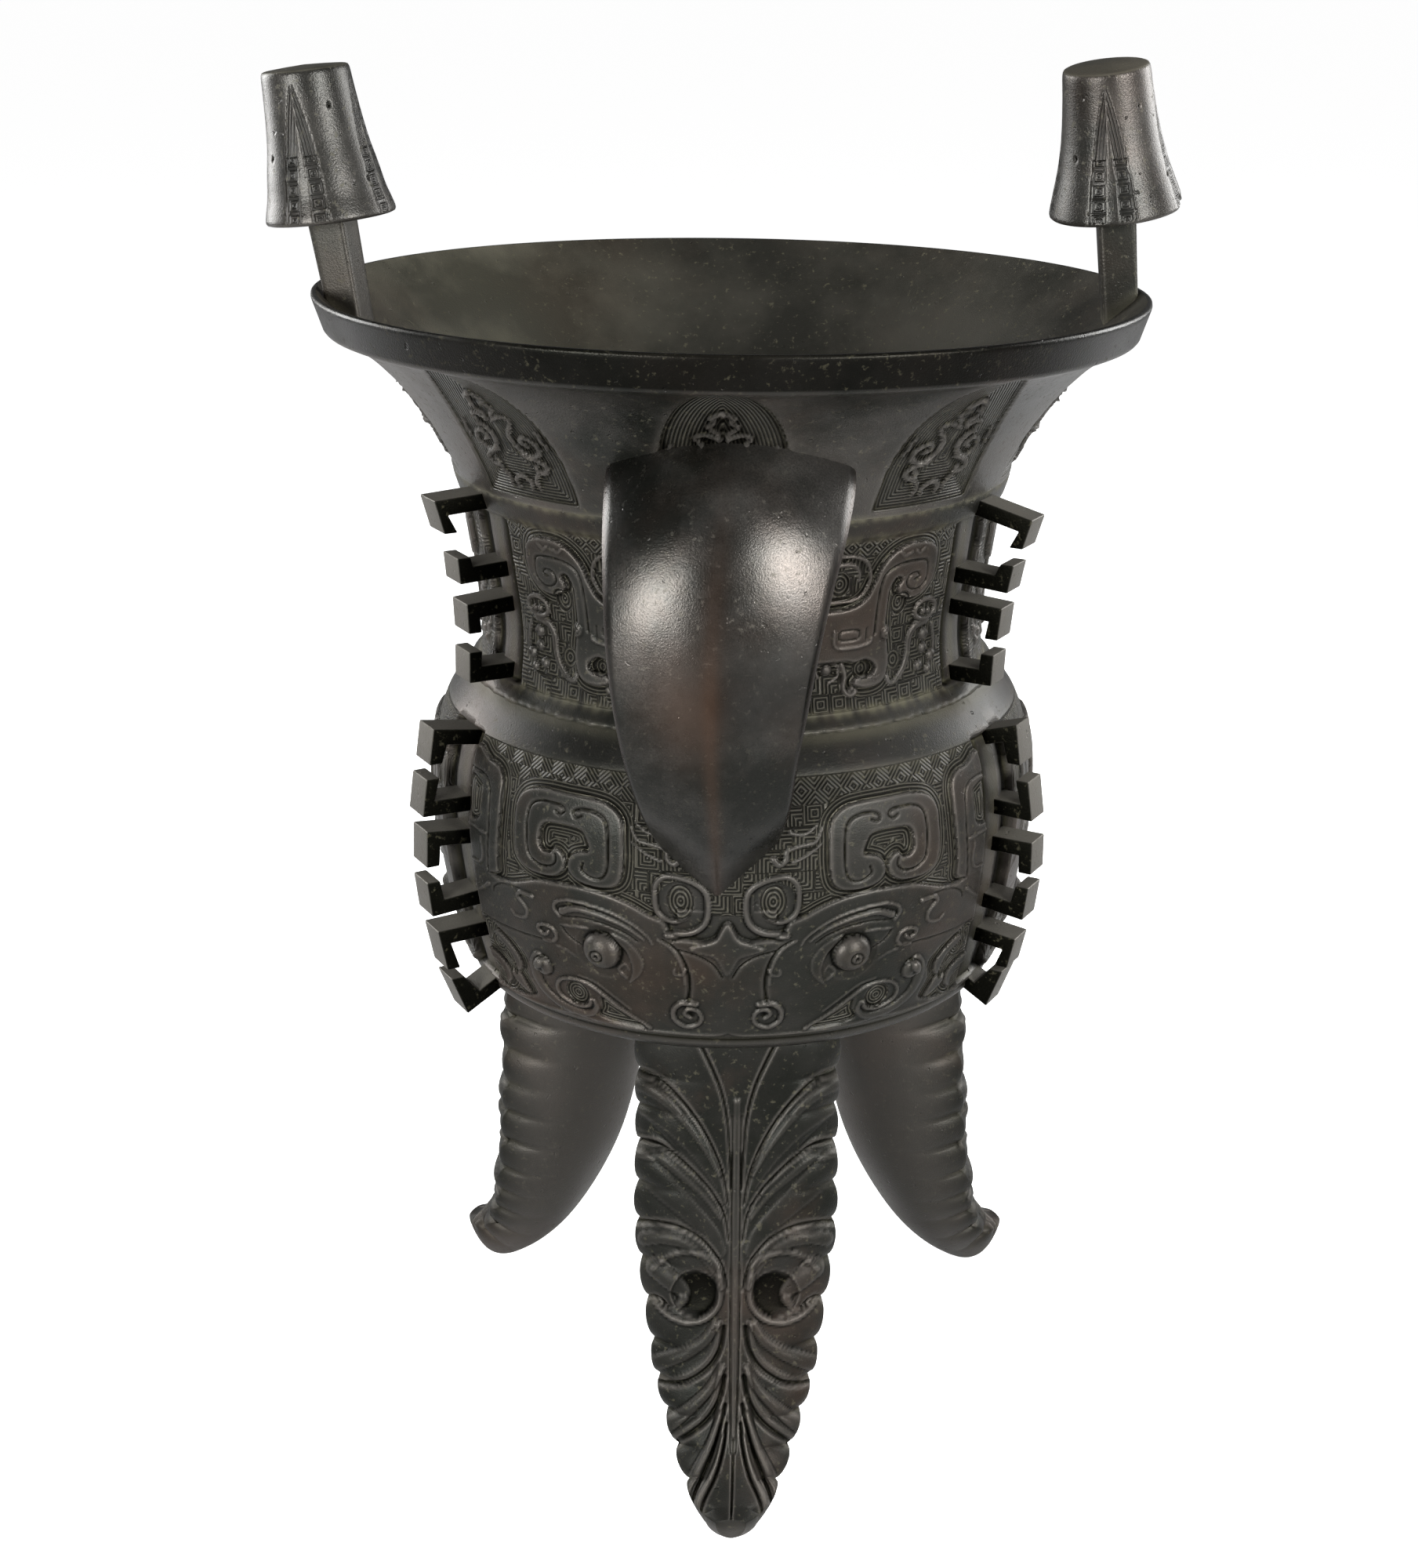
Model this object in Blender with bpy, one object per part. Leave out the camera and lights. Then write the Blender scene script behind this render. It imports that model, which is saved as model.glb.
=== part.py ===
"""Cast bronze three-legged vessel of the archaic pouring and warming kind.

One casting in one node: a turned hollow body with a trumpet neck, three leaf-faced legs,
three rows of openwork hooks, a keeled strap handle and two capped posts on the lip.
Metres, +Z up. The origin is on the floor under the vessel's axis. The handle, the front
mask and the front leg face -Y, the posts stand on the lip at -X and +X.
"""
import math

import bpy
import bmesh
from mathutils import Vector

MM = 0.001

# Rim and neck
RIM_R = 160 * MM
RIM_Z = 473.3 * MM
RIM_ROUND = 1.1 * MM
BAND_BOTTOM_R = 156 * MM
BAND_BOTTOM_Z = 460.2 * MM
LIP_THICKNESS = 3.2 * MM
LIP_SLOPE_R = 142 * MM
LIP_SLOPE_Z = 459 * MM
LEDGE_TOP_R = 109.6 * MM
LEDGE_TOP_Z = 405.2 * MM
LEDGE_BOTTOM_R = 107.5 * MM
LEDGE_BOTTOM_Z = 398.2 * MM
LEDGE_UNDERCUT = 3.6 * MM
# The trumpet curve from the ledge to the lip's band, outside and inside: distance, height
NECK_FLARE = (
    (112.6 * MM, 414.0 * MM),
    (119.4 * MM, 427.0 * MM),
    (129.4 * MM, 441.0 * MM),
    (140.0 * MM, 451.6 * MM),
    (148.4 * MM, 457.2 * MM),
)
NECK_HOLLOW = (
    (107.6 * MM, 417.0 * MM),
    (114.0 * MM, 430.0 * MM),
    (127.0 * MM, 444.6 * MM),
    (134.0 * MM, 452.0 * MM),
)

# Waist and its band
WAIST_R = 99.2 * MM
WAIST_Z = 352 * MM
WAIST_BAND_TOP_R = 101.6 * MM
WAIST_BAND_TOP_Z = 330.7 * MM
WAIST_BAND_BOTTOM_R = 105.6 * MM
WAIST_BAND_BOTTOM_Z = 326.2 * MM

# Lower body
SHOULDER_R = 115.0 * MM
SHOULDER_Z = 314.2 * MM
BELLY_R = 122.0 * MM
BELLY_Z = 285 * MM
BODY_FOOT_R = 112 * MM
BODY_FOOT_Z = 207.5 * MM
BODY_FOOT_LINE = 2.6 * MM
BODY_FLOOR_R = 104 * MM
BODY_FLOOR_Z = 199.5 * MM
# The swell between foot line and belly: distance, height
LOWER_SWELL = ((117.6 * MM, 236.0 * MM), (120.6 * MM, 257.0 * MM))
HOLLOW_FLOOR_R = 96.0 * MM
LOWER_HOLLOW_Z = 238.0 * MM

WALL = 5.0 * MM
RIM_LEAN = 0.016
TURN_STEPS = 48

# Hooked flanges
FLANGE_THICKNESS = 17.2 * MM
HOOK_BAR = 6.2 * MM
HOOK_TIP = 5.4 * MM
FLANGE_ROOT = 3.0 * MM
# Each hook: outer corner's reach and height, root's rise over it, turn of the tip,
# length of the tip, and how far the tip leans out
WAIST_HOOKS = (
    (130.0 * MM, 398.6 * MM, 6.0 * MM, -1, 11.5 * MM, -3.5 * MM),
    (121.2 * MM, 369.4 * MM, 1.6 * MM, 1, 11.0 * MM, 2.2 * MM),
    (119.4 * MM, 363.2 * MM, 1.4 * MM, -1, 12.8 * MM, -1.4 * MM),
    (116.2 * MM, 332.0 * MM, -0.2 * MM, 1, 12.3 * MM, 0.6 * MM),
)
BODY_HOOKS = (
    (127.4 * MM, 318.4 * MM, -5.4 * MM, -1, 16.2 * MM, 2.2 * MM),
    (135.5 * MM, 280.2 * MM, 0.3 * MM, 1, 15.8 * MM, -2.2 * MM),
    (136.0 * MM, 271.4 * MM, -0.2 * MM, -1, 13.4 * MM, 0.1 * MM),
    (133.4 * MM, 238.1 * MM, 2.5 * MM, 1, 14.0 * MM, 1.9 * MM),
    (130.8 * MM, 229.3 * MM, 2.2 * MM, -1, 13.1 * MM, -3.0 * MM),
    (119.6 * MM, 197.6 * MM, 7.4 * MM, 1, 16.6 * MM, 6.4 * MM),
)
# The left row is cast a little higher at the neck and stands further out on the belly
LEFT_WAIST_HOOKS = (
    (128.4 * MM, 403.6 * MM, 1.2 * MM, -1, 12.8 * MM, -3.5 * MM),
    (119.4 * MM, 371.0 * MM, 1.0 * MM, 1, 10.0 * MM, 0.8 * MM),
    (117.2 * MM, 363.0 * MM, 1.4 * MM, -1, 11.6 * MM, -0.4 * MM),
    (117.4 * MM, 332.2 * MM, -0.4 * MM, 1, 12.0 * MM, -0.4 * MM),
)
LEFT_BODY_HOOKS = (
    (133.1 * MM, 316.4 * MM, -3.6 * MM, -1, 14.2 * MM, 2.3 * MM),
    (139.2 * MM, 281.8 * MM, -0.9 * MM, 1, 14.8 * MM, -2.3 * MM),
    (137.8 * MM, 275.6 * MM, -2.2 * MM, -1, 14.8 * MM, 0.8 * MM),
    (137.2 * MM, 240.1 * MM, 1.4 * MM, 1, 14.4 * MM, 1.6 * MM),
    (135.3 * MM, 233.4 * MM, 0.2 * MM, -1, 17.2 * MM, -3.4 * MM),
    (124.2 * MM, 195.4 * MM, 9.4 * MM, 1, 16.6 * MM, 6.4 * MM),
)
FLANGES = (
    (60, WAIST_HOOKS + BODY_HOOKS),
    (180, WAIST_HOOKS + BODY_HOOKS),
    (300, LEFT_WAIST_HOOKS + LEFT_BODY_HOOKS),
)

# Strap handle: each row is keel distance, keel height, edge distance, edge height,
# half width and shift to the side
HANDLE_THICKNESS = 6.4 * MM
HANDLE_ROWS = (
    (122.0 * MM, 441.0 * MM, 110.0 * MM, 428.0 * MM, 43.2 * MM, 0.0 * MM),
    (134.0 * MM, 433.0 * MM, 121.0 * MM, 421.5 * MM, 43.2 * MM, -0.6 * MM),
    (146.0 * MM, 419.0 * MM, 135.0 * MM, 408.0 * MM, 41.6 * MM, -2.4 * MM),
    (153.5 * MM, 401.0 * MM, 144.0 * MM, 391.0 * MM, 39.0 * MM, -4.6 * MM),
    (157.5 * MM, 379.0 * MM, 148.5 * MM, 371.0 * MM, 36.4 * MM, -6.4 * MM),
    (157.5 * MM, 355.0 * MM, 149.0 * MM, 349.0 * MM, 33.4 * MM, -7.2 * MM),
    (153.5 * MM, 331.0 * MM, 145.0 * MM, 328.5 * MM, 30.2 * MM, -7.2 * MM),
    (146.0 * MM, 309.0 * MM, 138.0 * MM, 311.0 * MM, 27.4 * MM, -6.2 * MM),
    (135.5 * MM, 289.0 * MM, 129.0 * MM, 299.0 * MM, 24.8 * MM, -5.6 * MM),
    (118.5 * MM, 266.0 * MM, 116.0 * MM, 288.0 * MM, 22.0 * MM, -5.2 * MM),
)
HANDLE_ACROSS = (-1.0, -0.62, -0.28, 0.0, 0.28, 0.62, 1.0)
HANDLE_CROWN_POWER = 1.7

# Legs: angle of each leg, and how far its top is cast off to its side
LEGS = ((0, 2.4 * MM), (122.5, 0.0), (236, 0.0))
# Each row is face distance, face height, back distance, back height, half width, sweep
LEG_ROWS = (
    (105.5 * MM, 203.0 * MM, 47.0 * MM, 203.0 * MM, 40.6 * MM, 14.5 * MM),
    (106.5 * MM, 178.0 * MM, 49.5 * MM, 172.0 * MM, 40.0 * MM, 14.5 * MM),
    (108.0 * MM, 150.0 * MM, 54.0 * MM, 141.0 * MM, 40.2 * MM, 14.0 * MM),
    (110.5 * MM, 118.0 * MM, 60.5 * MM, 112.0 * MM, 40.4 * MM, 14.0 * MM),
    (115.0 * MM, 86.0 * MM, 69.0 * MM, 80.0 * MM, 36.4 * MM, 12.5 * MM),
    (121.0 * MM, 58.0 * MM, 82.0 * MM, 52.0 * MM, 32.0 * MM, 11.5 * MM),
    (128.5 * MM, 38.0 * MM, 98.0 * MM, 27.0 * MM, 25.4 * MM, 9.5 * MM),
    (137.0 * MM, 26.5 * MM, 116.0 * MM, 9.0 * MM, 19.6 * MM, 7.0 * MM),
    (145.0 * MM, 20.0 * MM, 134.0 * MM, -0.9 * MM, 13.4 * MM, 4.0 * MM),
    (151.0 * MM, 17.6 * MM, 148.5 * MM, 7.0 * MM, 6.0 * MM, 1.6 * MM),
)
LEG_LOBES = 13
LOBE_DEPTH = 2.4 * MM
LOBE_STEPS = 2
FLUTE_REACH = 0.34
MIDRIB_HEIGHT = 1.3 * MM
LEG_FACE_ACROSS = (-1.0, -0.72, -0.4, -0.1, 0.0, 0.1, 0.4, 0.72, 1.0)
LEG_BACK_STEPS = 8
FLOOR_CUT = 12.0 * MM

# Posts on the lip and their caps
POST_SIDE = 14.8 * MM
POST_INTO_CAP = 6.0 * MM
POST_SINK = 3.4 * MM
CAP_WAIST_R = 18.4 * MM
CAP_TOP_R = 16.3 * MM
CAP_HEIGHT = 54.2 * MM
CAP_WAIST_SHARE = 0.55
CAP_EDGE = 1.4 * MM
CAP_DOME = 1.0 * MM
CAP_STEPS = 20
LEFT_CAP_R = 24.4 * MM
LEFT_CAP_X = -149.1 * MM
LEFT_CAP_Y = -19.2 * MM
LEFT_CAP_Z = 499.1 * MM
LEFT_LEAN_SIDE = -7.0
LEFT_LEAN_FRONT = 0.5
LEFT_TURN = 15.0
LEFT_POST_FOOT_X = -143.5 * MM
RIGHT_CAP_R = 25.4 * MM
RIGHT_CAP_X = 147.1 * MM
RIGHT_CAP_Y = 4.8 * MM
RIGHT_CAP_Z = 503.1 * MM
RIGHT_LEAN_SIDE = -8.4
RIGHT_LEAN_FRONT = 7.0
RIGHT_TURN = 4.0
RIGHT_POST_FOOT_X = 151.8 * MM
CHIP_SIZE = 7.0 * MM

# Masks between the hooks
MASK_ANGLES = (0, 120, 240)
MASK_RAISE = 2.0 * MM
MASK_SINK = 1.6 * MM
EYE_ANGLE = 22.2
EYE_Z = 244.6 * MM
EYE_R = 6.4 * MM
EYE_RAISE = 4.6 * MM
HORN_ANGLE = 28.4
HORN_Z = 289.0 * MM
HORN_HALF_ARC = 10.6
HORN_HALF_HEIGHT = 17.6 * MM
HORN_BAND = 6.4 * MM
DIAMOND_Z = 249.0 * MM
DIAMOND_HALF_ARC = 6.2
DIAMOND_HALF_HEIGHT = 12.0 * MM
BROW_BAND = 4.2 * MM


def clear_scene():
    """Remove every object that is in the file."""
    for item in list(bpy.data.objects):
        bpy.data.objects.remove(item, do_unlink=True)


def make_object(name, points, faces):
    """Build one closed object from points and faces, with its faces turned outwards."""
    mesh = bpy.data.meshes.new(name)
    mesh.from_pydata([tuple(point) for point in points], [], faces)
    work = bmesh.new()
    work.from_mesh(mesh)
    bmesh.ops.recalc_face_normals(work, faces=work.faces)
    work.to_mesh(mesh)
    work.free()
    item = bpy.data.objects.new(name, mesh)
    bpy.context.collection.objects.link(item)
    return item


def polar(angle, distance, height, side=0.0):
    """Point at a distance from the axis along an angle from the front, moved sideways."""
    turn = math.radians(angle)
    out = Vector((math.sin(turn), -math.cos(turn), 0))
    across = Vector((math.cos(turn), math.sin(turn), 0))
    return out * distance + across * side + Vector((0, 0, height))


def blend(rows, share):
    """Read a row between the given rows by smooth interpolation, share from 0 to 1."""
    place = share * (len(rows) - 1)
    low = min(int(place), len(rows) - 2)
    part = place - low
    before = rows[max(low - 1, 0)]
    start = rows[low]
    end = rows[low + 1]
    after = rows[min(low + 2, len(rows) - 1)]
    result = []
    for a, b, c, d in zip(before, start, end, after):
        slope_start = (c - a) / 2
        slope_end = (d - b) / 2
        cube = part ** 3
        square = part ** 2
        value = (2 * cube - 3 * square + 1) * b + (cube - 2 * square + part) * slope_start
        value += (3 * square - 2 * cube) * c + (cube - square) * slope_end
        result.append(value)
    return result


def outer_profile():
    """Outline of the turned outside from the underside's centre to the lip."""
    return [
        (0.0, BODY_FLOOR_Z),
        (BODY_FLOOR_R, BODY_FLOOR_Z),
        (BODY_FOOT_R - 1.0 * MM, BODY_FOOT_Z - 2.6 * MM),
        (BODY_FOOT_R, BODY_FOOT_Z),
        (BODY_FOOT_R - 0.4 * MM, BODY_FOOT_Z + BODY_FOOT_LINE),
        *LOWER_SWELL,
        (BELLY_R, BELLY_Z - 8 * MM),
        (BELLY_R - 0.6 * MM, BELLY_Z + 8 * MM),
        (BELLY_R - 3.4 * MM, BELLY_Z + 21 * MM),
        (SHOULDER_R, SHOULDER_Z),
        (WAIST_BAND_BOTTOM_R, WAIST_BAND_BOTTOM_Z),
        (WAIST_BAND_TOP_R, WAIST_BAND_TOP_Z),
        (WAIST_R, WAIST_Z),
        (WAIST_R + 2.6 * MM, WAIST_Z + 20 * MM),
        (LEDGE_BOTTOM_R - LEDGE_UNDERCUT, LEDGE_BOTTOM_Z - 5 * MM),
        (LEDGE_BOTTOM_R, LEDGE_BOTTOM_Z),
        (LEDGE_TOP_R, LEDGE_TOP_Z),
        (LEDGE_TOP_R + 0.6 * MM, LEDGE_TOP_Z + 2.6 * MM),
        *NECK_FLARE,
        (BAND_BOTTOM_R, BAND_BOTTOM_Z),
        (RIM_R, RIM_Z - RIM_ROUND),
        (RIM_R - RIM_ROUND, RIM_Z),
    ]


def inner_profile():
    """Outline of the hollow from its floor's centre to above the lip."""
    floor = BODY_FLOOR_Z + WALL
    return [
        (0.0, floor),
        (HOLLOW_FLOOR_R, floor),
        (BODY_FOOT_R - WALL - 2.4 * MM, BODY_FOOT_Z + 5.0 * MM),
        (LOWER_SWELL[0][0] - WALL, LOWER_HOLLOW_Z),
        (BELLY_R - WALL, BELLY_Z - 12 * MM),
        (BELLY_R - WALL - 0.6 * MM, BELLY_Z + 12 * MM),
        (SHOULDER_R - WALL - 1.8 * MM, SHOULDER_Z - 3.2 * MM),
        (WAIST_BAND_TOP_R - WALL, WAIST_BAND_TOP_Z - 1.0 * MM),
        (WAIST_R - WALL, WAIST_Z),
        (WAIST_R - WALL + 2.4 * MM, WAIST_Z + 24 * MM),
        (LEDGE_BOTTOM_R - WALL - 3.4 * MM, LEDGE_BOTTOM_Z + 2.0 * MM),
        *NECK_HOLLOW,
        (LIP_SLOPE_R, LIP_SLOPE_Z),
        (RIM_R - LIP_THICKNESS, RIM_Z - 0.6 * MM),
        (RIM_R - LIP_THICKNESS + 0.6 * MM, RIM_Z + 6 * MM),
        (0.0, RIM_Z + 6 * MM),
    ]


def turned(name, profile, steps, closed_top):
    """Turn an outline about the axis into a closed solid."""
    outline = list(profile)
    if closed_top:
        outline.append((0.0, outline[-1][1]))
    points = []
    rings = []
    for distance, height in outline:
        if distance == 0.0:
            rings.append([len(points)])
            points.append(Vector((0, 0, height)))
            continue
        ring = []
        for step in range(steps):
            ring.append(len(points))
            points.append(polar(360 * step / steps, distance, height))
        rings.append(ring)
    faces = []
    for low, high in zip(rings, rings[1:]):
        for step in range(steps):
            after = (step + 1) % steps
            if len(low) == 1:
                faces.append((low[0], high[step], high[after]))
            elif len(high) == 1:
                faces.append((low[step], low[after], high[0]))
            else:
                faces.append((low[step], low[after], high[after], high[step]))
    return make_object(name, points, faces)


def lofted(name, rings):
    """Join equal rings of points into one closed solid with flat ends."""
    count = len(rings[0])
    points = [point for ring in rings for point in ring]
    faces = []
    for row in range(len(rings) - 1):
        for step in range(count):
            after = (step + 1) % count
            start = row * count
            faces.append((start + step, start + after, start + count + after, start + count + step))
    last = (len(rings) - 1) * count
    middle_first = len(points)
    points.append(sum(rings[0], Vector()) / count)
    middle_last = len(points)
    points.append(sum(rings[-1], Vector()) / count)
    for step in range(count):
        after = (step + 1) % count
        faces.append((middle_first, after, step))
        faces.append((middle_last, last + step, last + after))
    return make_object(name, points, faces)


def wall_at(height, profile):
    """Distance of an outline from the axis at a height."""
    best = 0.0
    for (low_r, low_z), (high_r, high_z) in zip(profile, profile[1:]):
        if low_z <= height <= high_z and high_z > low_z:
            share = (height - low_z) / (high_z - low_z)
            best = max(best, low_r + (high_r - low_r) * share)
    return best


def plate(name, angle, outline, thickness):
    """Plate standing out from the axis, from an outline of distances and heights."""
    count = len(outline)
    points = []
    for side in (-thickness / 2, thickness / 2):
        for distance, height in outline:
            points.append(polar(angle, distance, height, side))
    faces = [tuple(range(count)), tuple(range(2 * count - 1, count - 1, -1))]
    for step in range(count):
        after = (step + 1) % count
        faces.append((step, after, count + after, count + step))
    return make_object(name, points, faces)


def hook(angle, row, profile):
    """One openwork hook: a bar out from the wall with its tip turned up or down."""
    reach, corner_z, rise, turn, drop, flare = row
    root_z = corner_z + rise
    root_r = wall_at(root_z, profile) - FLANGE_ROOT
    bar_rise = rise * HOOK_TIP / (reach - root_r)
    outline = [
        (root_r, root_z),
        (reach, corner_z),
        (reach + flare, corner_z + turn * drop),
        (reach + flare - HOOK_TIP, corner_z + turn * drop),
        (reach - HOOK_TIP, corner_z + bar_rise + turn * HOOK_BAR),
        (root_r, root_z + turn * HOOK_BAR),
    ]
    return plate("hook", angle, outline, FLANGE_THICKNESS)


def handle():
    """Strap handle: a crowned strap with a keel, looping out from neck to mask."""
    rings = []
    steps = 2 * (len(HANDLE_ROWS) - 1)
    for step in range(steps + 1):
        keel_r, keel_z, edge_r, edge_z, half, shift = blend(HANDLE_ROWS, step / steps)
        ahead = blend(HANDLE_ROWS, min(step + 1, steps) / steps)
        behind = blend(HANDLE_ROWS, max(step - 1, 0) / steps)
        along = Vector((ahead[0] - behind[0], ahead[1] - behind[1])).normalized()
        inward = Vector((along.y, -along.x))
        front = []
        back = []
        for across in HANDLE_ACROSS:
            share = abs(across) ** HANDLE_CROWN_POWER
            distance = keel_r + (edge_r - keel_r) * share
            height = keel_z + (edge_z - keel_z) * share
            front.append(polar(0, distance, height, across * half + shift))
            depth = HANDLE_THICKNESS * (1.0 if abs(across) < 1.0 else 0.72)
            side = across * half * 0.985 + shift
            back.append(polar(0, distance + inward.x * depth, height + inward.y * depth, side))
        rings.append(front + back[::-1])
    return lofted("handle", rings)


def leg(angle, shift):
    """One leg: a leaf-shaped face swept back to scalloped edges, with a rounded back."""
    steps = LEG_LOBES * LOBE_STEPS
    rings = []
    for step in range(steps + 1):
        share = step / steps
        face_r, face_z, back_r, back_z, half, sweep = blend(LEG_ROWS, share)
        lobe = abs(math.sin(math.pi * step / LOBE_STEPS))
        notch = LOBE_DEPTH * (1 - lobe) * min(1.0, half / (20 * MM))
        cast_off = shift * (1 - 1.2 * share)
        depth = math.hypot(face_r - back_r, face_z - back_z)
        out = Vector(((face_r - back_r) / depth, (face_z - back_z) / depth))
        ring = []
        for across in LEG_FACE_ACROSS:
            level = depth - sweep * (1 - math.sqrt(max(0.0, 1 - 0.92 * across ** 2))) / 0.717
            if across == 0.0:
                level += MIDRIB_HEIGHT * min(1.0, half / (16 * MM))
            width = across * (half - notch)
            ring.append((level, width))
        edge_level = depth - sweep
        for back in range(1, LEG_BACK_STEPS):
            turn = math.pi * back / LEG_BACK_STEPS
            near_edge = max(0.0, 1 - math.sin(turn) / FLUTE_REACH)
            width = math.cos(turn) * (half - notch * near_edge)
            level = edge_level * (1 - math.sin(turn) ** 0.9)
            ring.append((level, width))
        points = []
        for level, width in ring:
            distance = back_r + out.x * level
            height = back_z + out.y * level
            points.append(polar(angle, distance, height, width + cast_off))
        rings.append(points)
    return lofted("leg", rings)


def block(name, points):
    """Closed block from four lower corners and the four corners over them."""
    faces = [(0, 1, 2, 3), (7, 6, 5, 4)]
    for step in range(4):
        after = (step + 1) % 4
        faces.append((step, after, 4 + after, 4 + step))
    return make_object(name, points, faces)


def floor_block():
    """Block under the floor that trims the three feet to one level."""
    reach = RIM_R * 1.4
    points = []
    for height in (-FLOOR_CUT, 0.0):
        for x, y in ((-1, -1), (1, -1), (1, 1), (-1, 1)):
            points.append(Vector((x * reach, y * reach, height)))
    return block("floor_block", points)


def cap_profile(bottom_r):
    """Outline of one cap: a flared cone with softened edges and a low domed top."""
    waist_z = CAP_HEIGHT * CAP_WAIST_SHARE
    return [
        (0.0, 0.0),
        (bottom_r - CAP_EDGE, 0.0),
        (bottom_r, CAP_EDGE),
        (bottom_r - 1.9 * MM, CAP_HEIGHT * 0.16),
        (CAP_WAIST_R + 1.6 * MM, CAP_HEIGHT * 0.36),
        (CAP_WAIST_R, waist_z),
        (CAP_TOP_R + 0.6 * MM, CAP_HEIGHT * 0.8),
        (CAP_TOP_R, CAP_HEIGHT - CAP_EDGE),
        (CAP_TOP_R - CAP_EDGE, CAP_HEIGHT - 0.2 * MM),
        (0.0, CAP_HEIGHT + CAP_DOME),
    ]


def lean_axis(side, front):
    """Direction of a leaning post, from its lean to the side and to the front in degrees."""
    return Vector((math.tan(math.radians(side)), -math.tan(math.radians(front)), 1)).normalized()


def cap(base, axis, bottom_r):
    """One cap set square on its leaning axis."""
    item = turned("cap", cap_profile(bottom_r), CAP_STEPS, False)
    turn = Vector((0, 0, 1)).rotation_difference(axis)
    for vertex in item.data.vertices:
        vertex.co = turn @ vertex.co + base
    return item


def slope_height(distance):
    """Height of the mouth's inner slope at a distance from the axis."""
    profile = inner_profile()[:-1]
    for (low_r, low_z), (high_r, high_z) in zip(profile, profile[1:]):
        if low_z > LEDGE_TOP_Z and low_r <= distance <= high_r:
            return low_z + (high_z - low_z) * (distance - low_r) / (high_r - low_r)
    return RIM_Z - LIP_THICKNESS


def post(foot, top, turn):
    """Square post whose foot follows the mouth's inner slope and sinks into the wall."""
    spin = math.radians(turn)
    corners = []
    for a, b in ((-1, -1), (1, -1), (1, 1), (-1, 1)):
        x = (a * math.cos(spin) + b * math.sin(spin)) * POST_SIDE / 2
        y = (-a * math.sin(spin) + b * math.cos(spin)) * POST_SIDE / 2
        corners.append(Vector((x, y, 0)))
    points = []
    for corner in corners:
        spot = foot + corner
        distance = min(spot.length, RIM_R - LIP_THICKNESS - 0.4 * MM)
        spot = spot.normalized() * distance
        spot.z = slope_height(distance) - POST_SINK
        points.append(spot)
    points += [top + corner for corner in corners]
    return block("post", points)


def chip(base, axis):
    """Wedge that breaks a small piece out of a cap's lower edge."""
    across = Vector((1, -0.25, 0)).normalized()
    spot = base + across * RIGHT_CAP_R - axis * 1.2 * MM
    points = []
    for height in (-1, 1):
        for a, b in ((-1, -1), (1, -1), (1, 1), (-1, 1)):
            shrink = 0.55 if height > 0 else 1.0
            side = Vector((-across.y, across.x, 0)) * b * CHIP_SIZE * shrink
            points.append(spot + across * a * CHIP_SIZE * 0.5 * shrink + side + axis * height * 3 * MM)
    return block("chip", points)


def ribbon(angle, path, width, profile):
    """Raised band laid on the turned wall along a path of angles and heights."""
    rings = []
    for place, (turn, height) in enumerate(path):
        ahead = path[min(place + 1, len(path) - 1)]
        behind = path[max(place - 1, 0)]
        wall = wall_at(height, profile)
        across_step = math.radians(ahead[0] - behind[0]) * wall
        along = Vector((across_step, ahead[1] - behind[1])).normalized()
        ring = []
        for side, level in ((-1, -MASK_SINK), (-0.8, MASK_RAISE), (0.8, MASK_RAISE), (1, -MASK_SINK)):
            shift_across = -along.y * side * width / 2
            shift_up = along.x * side * width / 2
            place_angle = angle + turn + math.degrees(shift_across / wall)
            place_height = height + shift_up
            distance = wall_at(place_height, profile) + level
            ring.append(polar(place_angle, distance, place_height))
        rings.append(ring)
    return lofted("band", rings)


def horn_path(side):
    """Path of one mask horn: a rounded square that opens at its foot and curls inwards."""
    path = []
    for step in range(15):
        turn = math.radians(-58 - 300 * step / 14)
        shrink = 1.0 if step < 11 else 1.0 - 0.14 * (step - 10)
        squarer = (abs(math.cos(turn)) ** 4 + abs(math.sin(turn)) ** 4) ** -0.25
        across = math.cos(turn) * squarer * HORN_HALF_ARC * shrink
        up = math.sin(turn) * squarer * HORN_HALF_HEIGHT * shrink
        path.append((side * (HORN_ANGLE - across), HORN_Z + up))
    return path


def brow_path(side):
    """Path of the long brow over one eye."""
    path = []
    for step in range(8):
        share = step / 7
        angle = 36.0 - 27.0 * share
        height = 259.0 * MM + 6.0 * MM * math.sin(math.pi * share) - 13.0 * MM * share ** 2
        path.append((side * angle, height))
    return path


def boss(angle, height, radius, rise, profile):
    """Round boss standing on the turned wall."""
    wall = wall_at(height, profile)
    centre = polar(angle, wall, height)
    out = polar(angle, 1, 0)
    across = Vector((0, 0, 1)).cross(out)
    up = out.cross(across)
    rings = []
    for share, level in ((1.0, -3.0 * MM), (1.0, rise * 0.3), (0.72, rise * 0.82), (0.3, rise)):
        ring = []
        for step in range(10):
            turn = 2 * math.pi * step / 10
            shift = across * math.cos(turn) + up * math.sin(turn)
            ring.append(centre + shift * radius * share + out * level)
        rings.append(ring)
    return lofted("boss", rings)


def diamond(angle, profile):
    """Hollow-sided diamond on the mask's forehead."""
    inner = []
    outer = []
    for step in range(8):
        turn = math.pi * step / 4
        reach = 1.0 if step % 2 == 0 else 0.42
        place_angle = angle + math.cos(turn) * DIAMOND_HALF_ARC * reach
        height = DIAMOND_Z + math.sin(turn) * DIAMOND_HALF_HEIGHT * reach
        wall = wall_at(height, profile)
        inner.append(polar(place_angle, wall - MASK_SINK, height))
        outer.append(polar(place_angle, wall + MASK_RAISE * 0.7, height))
    return lofted("diamond", [inner, outer])


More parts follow.
